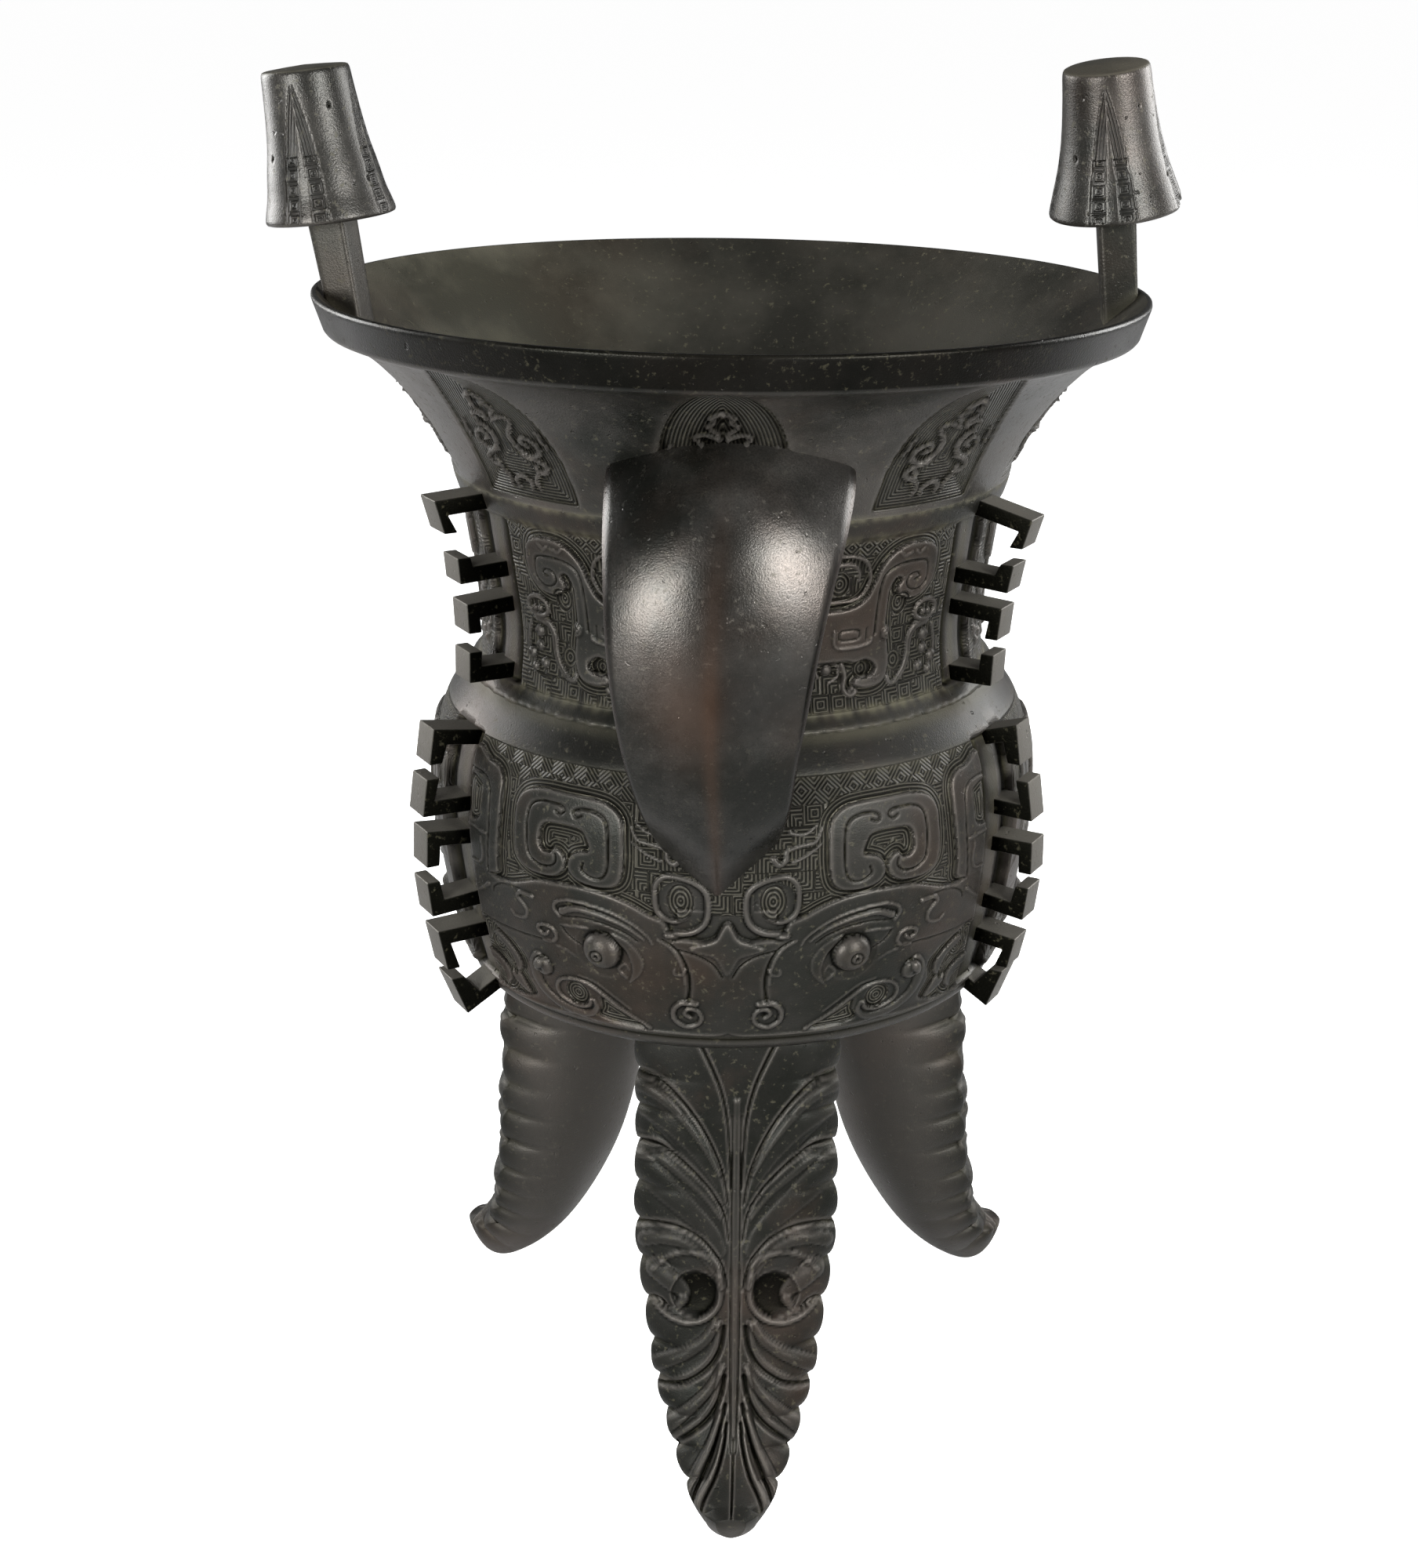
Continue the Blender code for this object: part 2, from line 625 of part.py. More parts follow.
def cut_or_join(target, tool, operation):
    """Apply one Boolean with an exact solver and remove the tool."""
    tool.hide_render = True
    tool.display_type = "WIRE"
    step = target.modifiers.new(operation, "BOOLEAN")
    step.operation = operation
    step.solver = "EXACT"
    step.object = tool
    graph = bpy.context.evaluated_depsgraph_get()
    mesh = bpy.data.meshes.new_from_object(target.evaluated_get(graph))
    target.modifiers.clear()
    target.data = mesh
    bpy.data.objects.remove(tool, do_unlink=True)


def settle(item):
    """Lean the vessel as it was cast: its lip stands a little higher on the left."""
    for vertex in item.data.vertices:
        share = (vertex.co.z - BODY_FOOT_Z) / (RIM_Z - BODY_FOOT_Z)
        vertex.co.z -= RIM_LEAN * min(1.0, max(0.0, share)) * vertex.co.x


def finish(item, colour, roughness):
    """Weld stray points, set smooth shading with sharp edges and give the bronze."""
    work = bmesh.new()
    work.from_mesh(item.data)
    bmesh.ops.remove_doubles(work, verts=work.verts, dist=0.00002)
    bmesh.ops.dissolve_degenerate(work, edges=work.edges, dist=0.00002)
    bmesh.ops.triangulate(work, faces=work.faces)
    bmesh.ops.recalc_face_normals(work, faces=work.faces)
    work.to_mesh(item.data)
    work.free()
    material = bpy.data.materials.new("bronze")
    material.use_nodes = True
    shader = material.node_tree.nodes["Principled BSDF"]
    shader.inputs["Base Color"].default_value = colour
    shader.inputs["Metallic"].default_value = 0.85
    shader.inputs["Roughness"].default_value = roughness
    item.data.materials.clear()
    item.data.materials.append(material)
    item.data.shade_smooth()
    item.data.set_sharp_from_angle(angle=math.radians(32))


def main():
    """Build the casting."""
    clear_scene()
    profile = outer_profile()
    vessel = turned("vessel", profile, TURN_STEPS, True)
    for angle, shift in LEGS:
        cut_or_join(vessel, leg(angle, shift), "UNION")
    for angle, hooks in FLANGES:
        for row in hooks:
            cut_or_join(vessel, hook(angle, row, profile), "UNION")
    for angle in MASK_ANGLES:
        cut_or_join(vessel, diamond(angle, profile), "UNION")
        for side in (-1, 1):
            cut_or_join(vessel, ribbon(angle, horn_path(side), HORN_BAND, profile), "UNION")
            cut_or_join(vessel, ribbon(angle, brow_path(side), BROW_BAND, profile), "UNION")
            eye = boss(angle + side * EYE_ANGLE, EYE_Z, EYE_R, EYE_RAISE, profile)
            cut_or_join(vessel, eye, "UNION")
    cut_or_join(vessel, handle(), "UNION")
    cut_or_join(vessel, turned("hollow", inner_profile(), TURN_STEPS, False), "DIFFERENCE")
    cut_or_join(vessel, floor_block(), "DIFFERENCE")
    left = Vector((LEFT_CAP_X, LEFT_CAP_Y, LEFT_CAP_Z))
    left_axis = lean_axis(LEFT_LEAN_SIDE, LEFT_LEAN_FRONT)
    left_foot = Vector((LEFT_POST_FOOT_X, LEFT_CAP_Y, 0))
    right = Vector((RIGHT_CAP_X, RIGHT_CAP_Y, RIGHT_CAP_Z))
    right_axis = lean_axis(RIGHT_LEAN_SIDE, RIGHT_LEAN_FRONT)
    right_foot = Vector((RIGHT_POST_FOOT_X, RIGHT_CAP_Y, 0))
    cut_or_join(vessel, post(left_foot, left + left_axis * POST_INTO_CAP, LEFT_TURN), "UNION")
    cut_or_join(vessel, cap(left, left_axis, LEFT_CAP_R), "UNION")
    cut_or_join(vessel, post(right_foot, right + right_axis * POST_INTO_CAP, RIGHT_TURN), "UNION")
    broken = cap(right, right_axis, RIGHT_CAP_R)
    cut_or_join(broken, chip(right, right_axis), "DIFFERENCE")
    cut_or_join(vessel, broken, "UNION")
    settle(vessel)
    finish(vessel, (0.09, 0.075, 0.06, 1), 0.42)


main()
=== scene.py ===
"""Looks of the cast bronze three-legged vessel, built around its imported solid.

The vessel is one casting. Its surface is made here in pieces that meet under the hooks and
bands: three sectors of the lower body with their masks, three sectors of the waist with
their dragons, the neck with its leaves, the inside, the strap handle, three leaf-faced legs,
three rows of hooks, and two posts with their caps. Lengths are millimetres until a mesh is
made, +Z is up, and angles are degrees from the front (-Y) towards +X.
"""

import logging
import math
from collections.abc import Callable, Sequence
from dataclasses import dataclass, field
from enum import Enum

import bmesh
import bpy
import numpy as np
from mathutils import Matrix, Vector

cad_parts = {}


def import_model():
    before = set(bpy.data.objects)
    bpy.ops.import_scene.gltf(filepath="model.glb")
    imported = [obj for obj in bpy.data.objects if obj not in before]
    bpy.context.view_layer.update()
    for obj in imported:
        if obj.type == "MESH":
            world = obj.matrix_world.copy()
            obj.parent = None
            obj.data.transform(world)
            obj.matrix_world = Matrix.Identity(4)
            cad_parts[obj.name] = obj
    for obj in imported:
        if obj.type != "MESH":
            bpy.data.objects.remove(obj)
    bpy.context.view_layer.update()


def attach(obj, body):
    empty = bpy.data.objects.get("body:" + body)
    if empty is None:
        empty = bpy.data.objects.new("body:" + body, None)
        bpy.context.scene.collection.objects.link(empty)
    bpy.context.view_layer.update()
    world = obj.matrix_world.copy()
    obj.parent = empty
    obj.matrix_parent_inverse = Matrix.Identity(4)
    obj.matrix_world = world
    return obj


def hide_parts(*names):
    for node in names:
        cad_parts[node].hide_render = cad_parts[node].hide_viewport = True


MM = 0.001
BODY = "root"
NODE = "vessel"

BODY_FOOT_Z = 207.5
RIM_Z = 473.3
RIM_LEAN = 0.016
BOTH_SIDES = (1, -1)

Line = Sequence[tuple[float, float]]
log = logging.getLogger("vessel")


class Ground(Enum):
    """How the fine lines of a ground are laid out."""

    SQUARES = "nested squares"
    RHOMBS = "nested squares standing on a corner"
    NONE = "no lines"


def smoothstep(value: np.ndarray) -> np.ndarray:
    """Ease a share from 0 to 1.

    Args:
        value: shares, of any size.

    Returns:
        The eased shares, held between 0 and 1.
    """
    held = np.clip(value, 0.0, 1.0)
    return held * held * (3 - 2 * held)


def flowing(points: Line, steps: int = 6, closed: bool = False) -> np.ndarray:
    """Pass a smooth line through a few points.

    Args:
        points: the points that the line passes through.
        steps: how many pieces each stretch is cut into.
        closed: whether the line comes back to its start.

    Returns:
        The points of the smooth line, one a row.
    """
    given = np.array(points, float)
    count = len(given)
    if count < 3:
        return given
    spans = count if closed else count - 1
    result = []
    for span in range(spans):
        if closed:
            picks = [given[(span + shift) % count] for shift in (-1, 0, 1, 2)]
        else:
            picks = [given[min(max(span + shift, 0), count - 1)] for shift in (-1, 0, 1, 2)]
        before, start, end, after = picks
        for step in range(steps):
            part = step / steps
            square, cube = part**2, part**3
            place = (2 * cube - 3 * square + 1) * start + (3 * square - 2 * cube) * end
            place = place + (cube - 2 * square + part) * (end - before) / 2
            place = place + (cube - square) * (after - start) / 2
            result.append(place)
    if not closed:
        result.append(given[-1])
    return np.array(result)


def curl(
    centre: tuple[float, float],
    outer: float,
    inner: float,
    start: float,
    turns: float,
    across_scale: float = 1.0,
) -> list[tuple[float, float]]:
    """Lay a line along a spiral.

    Args:
        centre: middle of the spiral.
        outer: distance from the middle at the start.
        inner: distance from the middle at the end.
        start: direction of the start in degrees, anticlockwise from the right.
        turns: how far it winds, anticlockwise if positive.
        across_scale: how many units across make one unit up.

    Returns:
        The points of the spiral.
    """
    count = max(8, int(abs(turns) * 20))
    points = []
    for step in range(count + 1):
        share = step / count
        reach = outer + (inner - outer) * share
        turn = math.radians(start + 360 * turns * share)
        across = centre[0] + reach * math.cos(turn) * across_scale
        points.append((across, centre[1] + reach * math.sin(turn)))
    return points


class Relief:
    """Height map of a carved surface, with masks for its fine lines.

    The map covers a grid of columns and rows. Across values are turned into millimetres by
    a scale, so that shapes can be laid out in degrees.
    """

    def __init__(self, across: np.ndarray, up: np.ndarray, scale: float) -> None:
        """Start a flat map.

        Args:
            across: position of each column.
            up: position of each row in millimetres, rising.
            scale: millimetres for one unit across.
        """
        self.scale = scale
        self.across = across * scale
        self.up = up
        self.height = np.zeros((len(up), len(across)))
        self.lines = np.zeros_like(self.height)
        self.ground = np.zeros_like(self.height)
        self.dust_and_light = np.zeros_like(self.height)
        self.shade = np.zeros_like(self.height)

    def window(self, points: np.ndarray, margin: float) -> tuple[slice, slice]:
        """Find the rows and columns near some points.

        Args:
            points: the points in millimetres.
            margin: how far round them to go.

        Returns:
            The slice of rows and the slice of columns.
        """
        low, high = points.min(0) - margin, points.max(0) + margin
        columns = slice(*np.searchsorted(self.across, (low[0], high[0])))
        rows = slice(*np.searchsorted(self.up, (low[1], high[1])))
        return rows, columns

    def spots(self, where: tuple[slice, slice]) -> tuple[np.ndarray, np.ndarray]:
        """Give the places of a window's cells, across and up."""
        return np.meshgrid(self.across[where[1]], self.up[where[0]])

    def placed(self, points: Line, closed: bool, steps: int) -> np.ndarray:
        """Turn a few points into a smooth line in millimetres."""
        return flowing([(x * self.scale, y) for x, y in points], steps, closed)

    def distance(
        self, line: np.ndarray, where: tuple[slice, slice]
    ) -> tuple[np.ndarray, np.ndarray]:
        """Measure how far a window's cells are from a line.

        Args:
            line: the line's points in millimetres.
            where: the window.

        Returns:
            The distance of each cell, and the share along the line of its nearest point.
        """
        x, y = self.spots(where)
        best = np.full(x.shape, 1e9)
        share = np.zeros(x.shape)
        count = len(line) - 1
        for place in range(count):
            start, run = line[place], line[place + 1] - line[place]
            length = max(float(run @ run), 1e-9)
            along = np.clip(((x - start[0]) * run[0] + (y - start[1]) * run[1]) / length, 0, 1)
            gap = np.hypot(x - start[0] - along * run[0], y - start[1] - along * run[1])
            near = gap < best
            best = np.where(near, gap, best)
            share = np.where(near, (place + along) / count, share)
        return best, share

    def inside(self, line: np.ndarray, where: tuple[slice, slice]) -> np.ndarray:
        """Tell which of a window's cells lie inside a closed line."""
        x, y = self.spots(where)
        found = np.zeros(x.shape, bool)
        for (x0, y0), (x1, y1) in zip(line, np.roll(line, -1, 0)):
            if y0 == y1:
                continue
            crossing = (y0 > y) != (y1 > y)
            found ^= crossing & (x < (x1 - x0) * (y - y0) / (y1 - y0) + x0)
        return found

    def signed(self, points: Line, margin: float) -> tuple[np.ndarray, tuple[slice, slice]]:
        """Measure how deep cells lie inside a closed shape, negative outside."""
        line = self.placed(points, True, 4)
        where = self.window(line, margin)
        gap, _ = self.distance(np.vstack([line, line[:1]]), where)
        return np.where(self.inside(line, where), gap, -gap), where

    def raise_line(
        self,
        points: Line,
        width: float,
        height: float,
        end_width: float | None = None,
        over: bool = True,
    ) -> None:
        """Raise a rounded bead along a line.

        Args:
            points: the points that the line passes through.
            width: width at the start.
            height: how far it stands up.
            end_width: width at the end, if it tapers.
            over: whether it stands on what is there, or rises from the ground.
        """
        line = self.placed(points, False, 5)
        where = self.window(line, width)
        gap, share = self.distance(line, where)
        half = (width + ((end_width or width) - width) * share) / 2
        shape = np.clip(1 - (gap / half) ** 2, 0, 1) ** 0.5
        tall = height * np.clip(half / (width / 2), 0.5, 1)
        if over:
            self.height[where] += tall * shape
        else:
            self.height[where] = np.maximum(self.height[where], tall * shape)
        self.ground[where] *= 1 - smoothstep((half - gap) / 0.4 + 0.5)
        self.shade[where] *= 1 - shape

    def cut_line(
        self, points: Line, width: float, depth: float, end_width: float | None = None
    ) -> None:
        """Cut a round-bottomed groove along a line.

        Args:
            points: the points that the line passes through.
            width: width at the start.
            depth: how deep it is.
            end_width: width at the end, if it tapers.
        """
        line = self.placed(points, False, 5)
        where = self.window(line, width)
        gap, share = self.distance(line, where)
        half = (width + ((end_width or width) - width) * share) / 2
        shape = 1 - smoothstep(gap / half)
        self.height[where] -= depth * shape
        self.ground[where] *= 1 - shape
        self.dust_and_light[where] += 0.08 * shape
        self.shade[where] += 0.25 * shape

    def raise_area(self, points: Line, height: float, bevel: float = 1.1) -> None:
        """Raise a flat area with rounded edges and no fine lines on it.

        Args:
            points: the points that its outline passes through.
            height: how far it stands up.
            bevel: width of its sloping edge.
        """
        deep, where = self.signed(points, 4.4)
        shape = np.clip(deep / bevel + 0.5, 0, 1) ** 0.75
        self.height[where] = np.maximum(self.height[where], height * shape)
        follow = (deep < 0) & (deep > -3.9)
        self.lines[where] = np.where(follow, -deep - 0.65, self.lines[where])
        self.ground[where] *= 1 - smoothstep(deep / 0.5 + 0.5)

    def sink_field(self, points: Line, height: float, pitch_from_edge: bool = True) -> None:
        """Set an area back to a lower level and fill it with lines along its outline.

        Args:
            points: the points that its outline passes through.
            height: the level of the field.
            pitch_from_edge: whether the lines follow the outline.
        """
        deep, where = self.signed(points, 1.5)
        shape = smoothstep(deep / 0.9 + 0.6)
        self.height[where] += (height - self.height[where]) * shape
        inner = smoothstep(deep / 0.6)
        if pitch_from_edge:
            self.lines[where] = np.where(deep > 0, deep, self.lines[where])
        self.ground[where] = np.maximum(self.ground[where] * (1 - shape), inner)

    def dome(self, centre: tuple[float, float], radius: float, height: float) -> None:
        """Raise a round boss, or sink a round hollow if the height is negative."""
        middle = np.array([[centre[0] * self.scale, centre[1]]])
        where = self.window(middle, radius * 1.3)
        x, y = self.spots(where)
        gap = np.hypot(x - middle[0, 0], y - middle[0, 1])
        shape = np.clip(1 - (gap / radius) ** 2, 0, 1) ** 0.5
        self.height[where] += height * shape
        self.ground[where] *= gap > radius

    def darken(self, centre: tuple[float, float], radius: float, amount: float) -> None:
        """Darken a round hollow that the light does not reach."""
        middle = np.array([[centre[0] * self.scale, centre[1]]])
        where = self.window(middle, radius)
        x, y = self.spots(where)
        gap = np.hypot(x - middle[0, 0], y - middle[0, 1])
        self.shade[where] = np.maximum(self.shade[where], amount * smoothstep((radius - gap) / 2.0))

    def rings(self, centre: tuple[float, float], radius: float, stretch: float = 1.0) -> None:
        """Fill a round or oval field with rings.

        Args:
            centre: its middle.
            radius: its radius across.
            stretch: its height for one unit of width.
        """
        middle = np.array([[centre[0] * self.scale, centre[1]]])
        where = self.window(middle, radius * max(1.0, stretch) + 1)
        x, y = self.spots(where)
        gap = np.hypot(x - middle[0, 0], (y - middle[0, 1]) / stretch)
        inside = gap < radius
        self.lines[where] = np.where(inside, gap, self.lines[where])
        self.ground[where] = np.where(inside, 1.0, self.ground[where])
        self.height[where] -= 0.5 * smoothstep((radius - gap) / 0.8)

    def lay_ground(self, kind: Ground, cell: float, up_from: float, up_to: float) -> None:
        """Cover a level stretch with nested squares or rhombs.

        Args:
            kind: how the lines are laid out.
            cell: size of one nest in millimetres.
            up_from: lower end of the stretch.
            up_to: upper end of the stretch.
        """
        rows = slice(*np.searchsorted(self.up, (up_from, up_to)))
        x, y = np.meshgrid(self.across, self.up[rows])
        row = np.floor((y - up_from) / cell)
        u = np.mod(x / cell + 0.5 * np.mod(row, 2), 1.0) - 0.5
        v = np.mod((y - up_from) / cell, 1.0) - 0.5
        if kind is Ground.SQUARES:
            column = np.floor(x / cell + 0.5 * np.mod(row, 2))
            pick = np.mod(np.abs(np.sin(column * 12.99 + row * 78.23)) * 43.7, 1.0)
            nest = np.maximum(np.abs(u), np.abs(v))
            nest = np.where(pick > 0.45, np.maximum(0.5 - u, 0.5 + v) * 0.9, nest)
            nest = np.where(pick > 0.72, np.maximum(0.5 + u, 0.5 - v) * 0.9, nest) * cell
        else:
            nest = (np.abs(u) + np.abs(v)) * cell * 0.72
        self.lines[rows] = nest
        self.ground[rows] = 0.0 if kind is Ground.NONE else 1.0


def settle(points: np.ndarray) -> np.ndarray:
    """Lean points as the casting leans: the lip stands a little higher on the left.

    Args:
        points: places in millimetres, with x, y and z last.

    Returns:
        The places after leaning.
    """
    share = np.clip((points[..., 2] - BODY_FOOT_Z) / (RIM_Z - BODY_FOOT_Z), 0, 1)
    leaned = points.copy()
    leaned[..., 2] -= RIM_LEAN * share * points[..., 0]
    return leaned


def polar(
    angle: np.ndarray, distance: np.ndarray, height: np.ndarray, side: np.ndarray | float = 0.0
) -> np.ndarray:
    """Place points round the axis.

    Args:
        angle: degrees from the front.
        distance: distance from the axis.
        height: height over the floor.
        side: shift at right angles to the distance.

    Returns:
        The places, with x, y and z last.
    """
    turn = np.radians(angle)
    sine, cosine = np.sin(turn), np.cos(turn)
    x = sine * distance + cosine * side
    y = -cosine * distance + sine * side
    return np.stack(np.broadcast_arrays(x, y, height), -1)


def even_profile(points: Line, step: float, rounds: int = 1) -> np.ndarray:
    """Round an outline's corners a little and cut it into even steps.

    Args:
        points: distances from the axis and heights.
        step: length of each step.
        rounds: how many times its corners are cut.

    Returns:
        The outline's points, one a row.
    """
    line = np.array(points, float)
    for _ in range(rounds):
        low = line[:-1] * 0.8 + line[1:] * 0.2
        high = line[:-1] * 0.2 + line[1:] * 0.8
        middle = np.stack([low, high], 1).reshape(-1, 2)
        line = np.vstack([line[:1], middle, line[-1:]])
    length = np.concatenate([[0], np.cumsum(np.linalg.norm(np.diff(line, axis=0), axis=1))])
    places = np.linspace(0, length[-1], max(2, int(length[-1] / step) + 1))
    return np.stack([np.interp(places, length, line[:, column]) for column in (0, 1)], 1)


def graded(low: float, high: float, step: float, dense: tuple[float, float]) -> np.ndarray:
    """Space out columns, close inside a stretch and wide outside it.

    Args:
        low: first column.
        high: last column.
        step: spacing inside the dense stretch.
        dense: the dense stretch.

    Returns:
        The columns' places.
    """
    left = np.linspace(low, dense[0], max(2, int((dense[0] - low) / (2.2 * step)) + 1))
    middle = np.linspace(*dense, int((dense[1] - dense[0]) / step) + 1)
    right = np.linspace(dense[1], high, max(2, int((high - dense[1]) / (2.2 * step)) + 1))
    return np.concatenate([left[:-1], middle, right[1:]])


def thinned(outline: np.ndarray, low: float, high: float, keep: int) -> np.ndarray:
    """Drop most of an outline's points below and above a stretch of heights.

    Args:
        outline: the outline's points.
        low: bottom of the stretch that keeps all.
        high: top of the stretch that keeps all.
        keep: one in this many points stays elsewhere.

    Returns:
        The remaining points.
    """
    places = np.arange(len(outline))
    dense = (outline[:, 1] > low) & (outline[:, 1] < high)
    return outline[dense | (places % keep == 0) | (places == len(outline) - 1)]


def grid_mesh(
    name: str,
    points: np.ndarray,
    masks: dict[str, np.ndarray],
    wrap: bool = False,
    flip: bool = False,
    close_ends: bool = False,
) -> bpy.types.Object:
    """Make a mesh from rows of points.

    Args:
        name: name of the piece.
        points: places in millimetres, as rows by columns by three.
        masks: values for each point that the finish reads, by name.
        wrap: whether the last column joins the first.
        flip: whether the faces look the other way.
        close_ends: whether the first and last rows are filled in.

    Returns:
        The new object.
    """
    rows, columns = points.shape[:2]
    index = np.arange(rows * columns).reshape(rows, columns)
    low, high = index[:-1], index[1:]
    if wrap:
        faces = np.stack([low, np.roll(low, -1, 1), np.roll(high, -1, 1), high], -1)
    else:
        faces = np.stack([low[:, :-1], low[:, 1:], high[:, 1:], high[:, :-1]], -1)
    faces = faces.reshape(-1, 4)
    if flip:
        faces = faces[:, ::-1]
    corners = [tuple(face) for face in faces.tolist()]
    if close_ends:
        ends = [tuple(index[0][::-1].tolist()), tuple(index[-1].tolist())]
        corners += [end[::-1] if flip else end for end in ends]
    mesh = bpy.data.meshes.new(name)
    mesh.from_pydata((points.reshape(-1, 3) * MM).tolist(), [], corners)
    for key, values in masks.items():
        layer = mesh.attributes.new(key, "FLOAT", "POINT")
        layer.data.foreach_set("value", values.reshape(-1).astype(np.float32))
    mesh.shade_smooth()
    item = bpy.data.objects.new(name, mesh)
    bpy.context.scene.collection.objects.link(item)
    return item


def blurred(values: np.ndarray, rounds: int) -> np.ndarray:
    """Soften a map by mixing each cell with its neighbours, again and again."""
    soft = values.copy()
    for _ in range(rounds):
        padded = np.pad(soft, 1, mode="edge")
        around = padded[:-2, 1:-1] + padded[2:, 1:-1] + padded[1:-1, :-2] + padded[1:-1, 2:]
        soft = (soft + around) / 5
    return soft


def relief_masks(relief: Relief) -> dict[str, np.ndarray]:
    """Give the values that the finish reads from a carved surface.

    Args:
        relief: the carved surface.

    Returns:
        The masks by name.
    """
    proud = np.clip((relief.height - blurred(relief.height, 5)) * 3.0, -1, 1)
    sunk = np.clip((blurred(relief.height, 16) - relief.height) * 1.0 - 0.15, 0, 1)
    return {
        "lines": relief.lines,
        "ground": np.clip(relief.ground, 0, 1),
        "dust_and_light": np.clip(relief.dust_and_light - np.maximum(proud, 0), 0, 1),
        # painted shade: darker where the surface lies below its surroundings, at the foot of raised
        # shapes, and wherever shade was laid on the relief
        "painted_shade": np.clip(sunk + np.maximum(-proud, 0) * 0.8 + relief.shade, 0, 1),
        # lighter on raised edges: worn high points, and painted highlight along the edges that catch
        # the light
        "wear_and_light": np.clip(proud, 0, 1) * (1 - np.clip(relief.shade, 0, 1)),
    }


def plain_masks(points: np.ndarray, dust_and_light: float = 0.0, wear_and_light: float = 0.0) -> dict[str, np.ndarray]:
    """Give even values for a surface with no carving.

    Args:
        points: the surface's points, as rows by columns by three.
        dust_and_light: dust in the hollows.
        wear_and_light: wear on the edges.

    Returns:
        The masks by name.
    """
    flat = np.zeros(points.shape[:2])
    return {"lines": flat, "ground": flat, "painted_shade": flat, "dust_and_light": flat + dust_and_light,
            "wear_and_light": flat + wear_and_light}


class NodeGroups:
    """Shader groups that more than one finish shares."""

    @staticmethod
    def start(name: str, inputs: dict[str, float], outputs: Sequence[str]) -> bpy.types.NodeTree:
        """Open a group with number sockets.

        Args:
            name: name of the group.
            inputs: name and default of each input.
            outputs: names of the outputs.

        Returns:
            The group's node tree.
        """
        group = bpy.data.node_groups.new(name, "ShaderNodeTree")
        for socket, value in inputs.items():
            made = group.interface.new_socket(socket, in_out="INPUT", socket_type="NodeSocketFloat")
            made.default_value = value
        for socket in outputs:
            group.interface.new_socket(socket, in_out="OUTPUT", socket_type="NodeSocketFloat")
        return group

    @staticmethod
    def cast_lines() -> bpy.types.NodeTree:
        """Build the group that turns the line mask into rounded ridges."""
        group = NodeGroups.start("cast_lines", {"Pitch": 1.0}, ("Ridge", "Valley"))
        nodes, links = group.nodes, group.links
        given = nodes.new("NodeGroupInput")
        made = nodes.new("NodeGroupOutput")
        phase = nodes.new("ShaderNodeAttribute")
        phase.attribute_name = "lines"
        mask = nodes.new("ShaderNodeAttribute")
        mask.attribute_name = "ground"
        turns = math_node(group, "DIVIDE", phase.outputs["Fac"], given.outputs["Pitch"])
        angle = math_node(group, "MULTIPLY", turns, math.tau)
        wave = math_node(group, "COSINE", angle)
        share = math_node(group, "MULTIPLY_ADD", wave, 0.5, 0.5)
        ridge = math_node(group, "MULTIPLY", share, mask.outputs["Fac"])
        low = math_node(group, "SUBTRACT", 1.0, share)
        valley = math_node(group, "MULTIPLY", low, mask.outputs["Fac"])
        links.new(ridge, made.inputs["Ridge"])
        links.new(valley, made.inputs["Valley"])
        return group

    @staticmethod
    def patina() -> bpy.types.NodeTree:
        """Build the group that spreads cloudy stains, fine specks and pits."""
        outputs = ("Cloud", "Tint", "Speck", "Pit", "Grit")
        group = NodeGroups.start("patina", {"Scale": 1.0}, outputs)
        nodes, links = group.nodes, group.links
        given = nodes.new("NodeGroupInput")
        made = nodes.new("NodeGroupOutput")
        place = nodes.new("ShaderNodeTexCoord")
        for name, scale, detail, low, high in (
            ("Cloud", 16.0, 6.0, 0.38, 0.66),
            ("Tint", 9.0, 8.0, 0.50, 0.66),
            ("Speck", 420.0, 3.0, 0.60, 0.70),
            ("Pit", 260.0, 2.0, 0.68, 0.76),
            ("Grit", 1500.0, 2.0, 0.30, 0.70),
        ):
            noise = nodes.new("ShaderNodeTexNoise")
            noise.inputs["Detail"].default_value = detail
            noise.inputs["Roughness"].default_value = 0.62
            size = math_node(group, "MULTIPLY", given.outputs["Scale"], scale)
            links.new(size, noise.inputs["Scale"])
            links.new(place.outputs["Object"], noise.inputs["Vector"])
            spread = nodes.new("ShaderNodeMapRange")
            spread.inputs["From Min"].default_value = low
            spread.inputs["From Max"].default_value = high
            links.new(noise.outputs["Fac"], spread.inputs["Value"])
            links.new(spread.outputs["Result"], made.inputs[name])
        return group


def math_node(
    tree: bpy.types.NodeTree, operation: str, *values: bpy.types.NodeSocket | float
) -> bpy.types.NodeSocket:
    """Add one sum to a node tree.

    Args:
        tree: the node tree.
        operation: name of the sum.
        values: its inputs, as numbers or as outputs of other nodes.

    Returns:
        The output of the sum.
    """
    node = tree.nodes.new("ShaderNodeMath")
    node.operation = operation
    for socket, value in zip(node.inputs, values):
        if isinstance(value, (int, float)):
            socket.default_value = value
        else:
            tree.links.new(value, socket)
    return node.outputs[0]


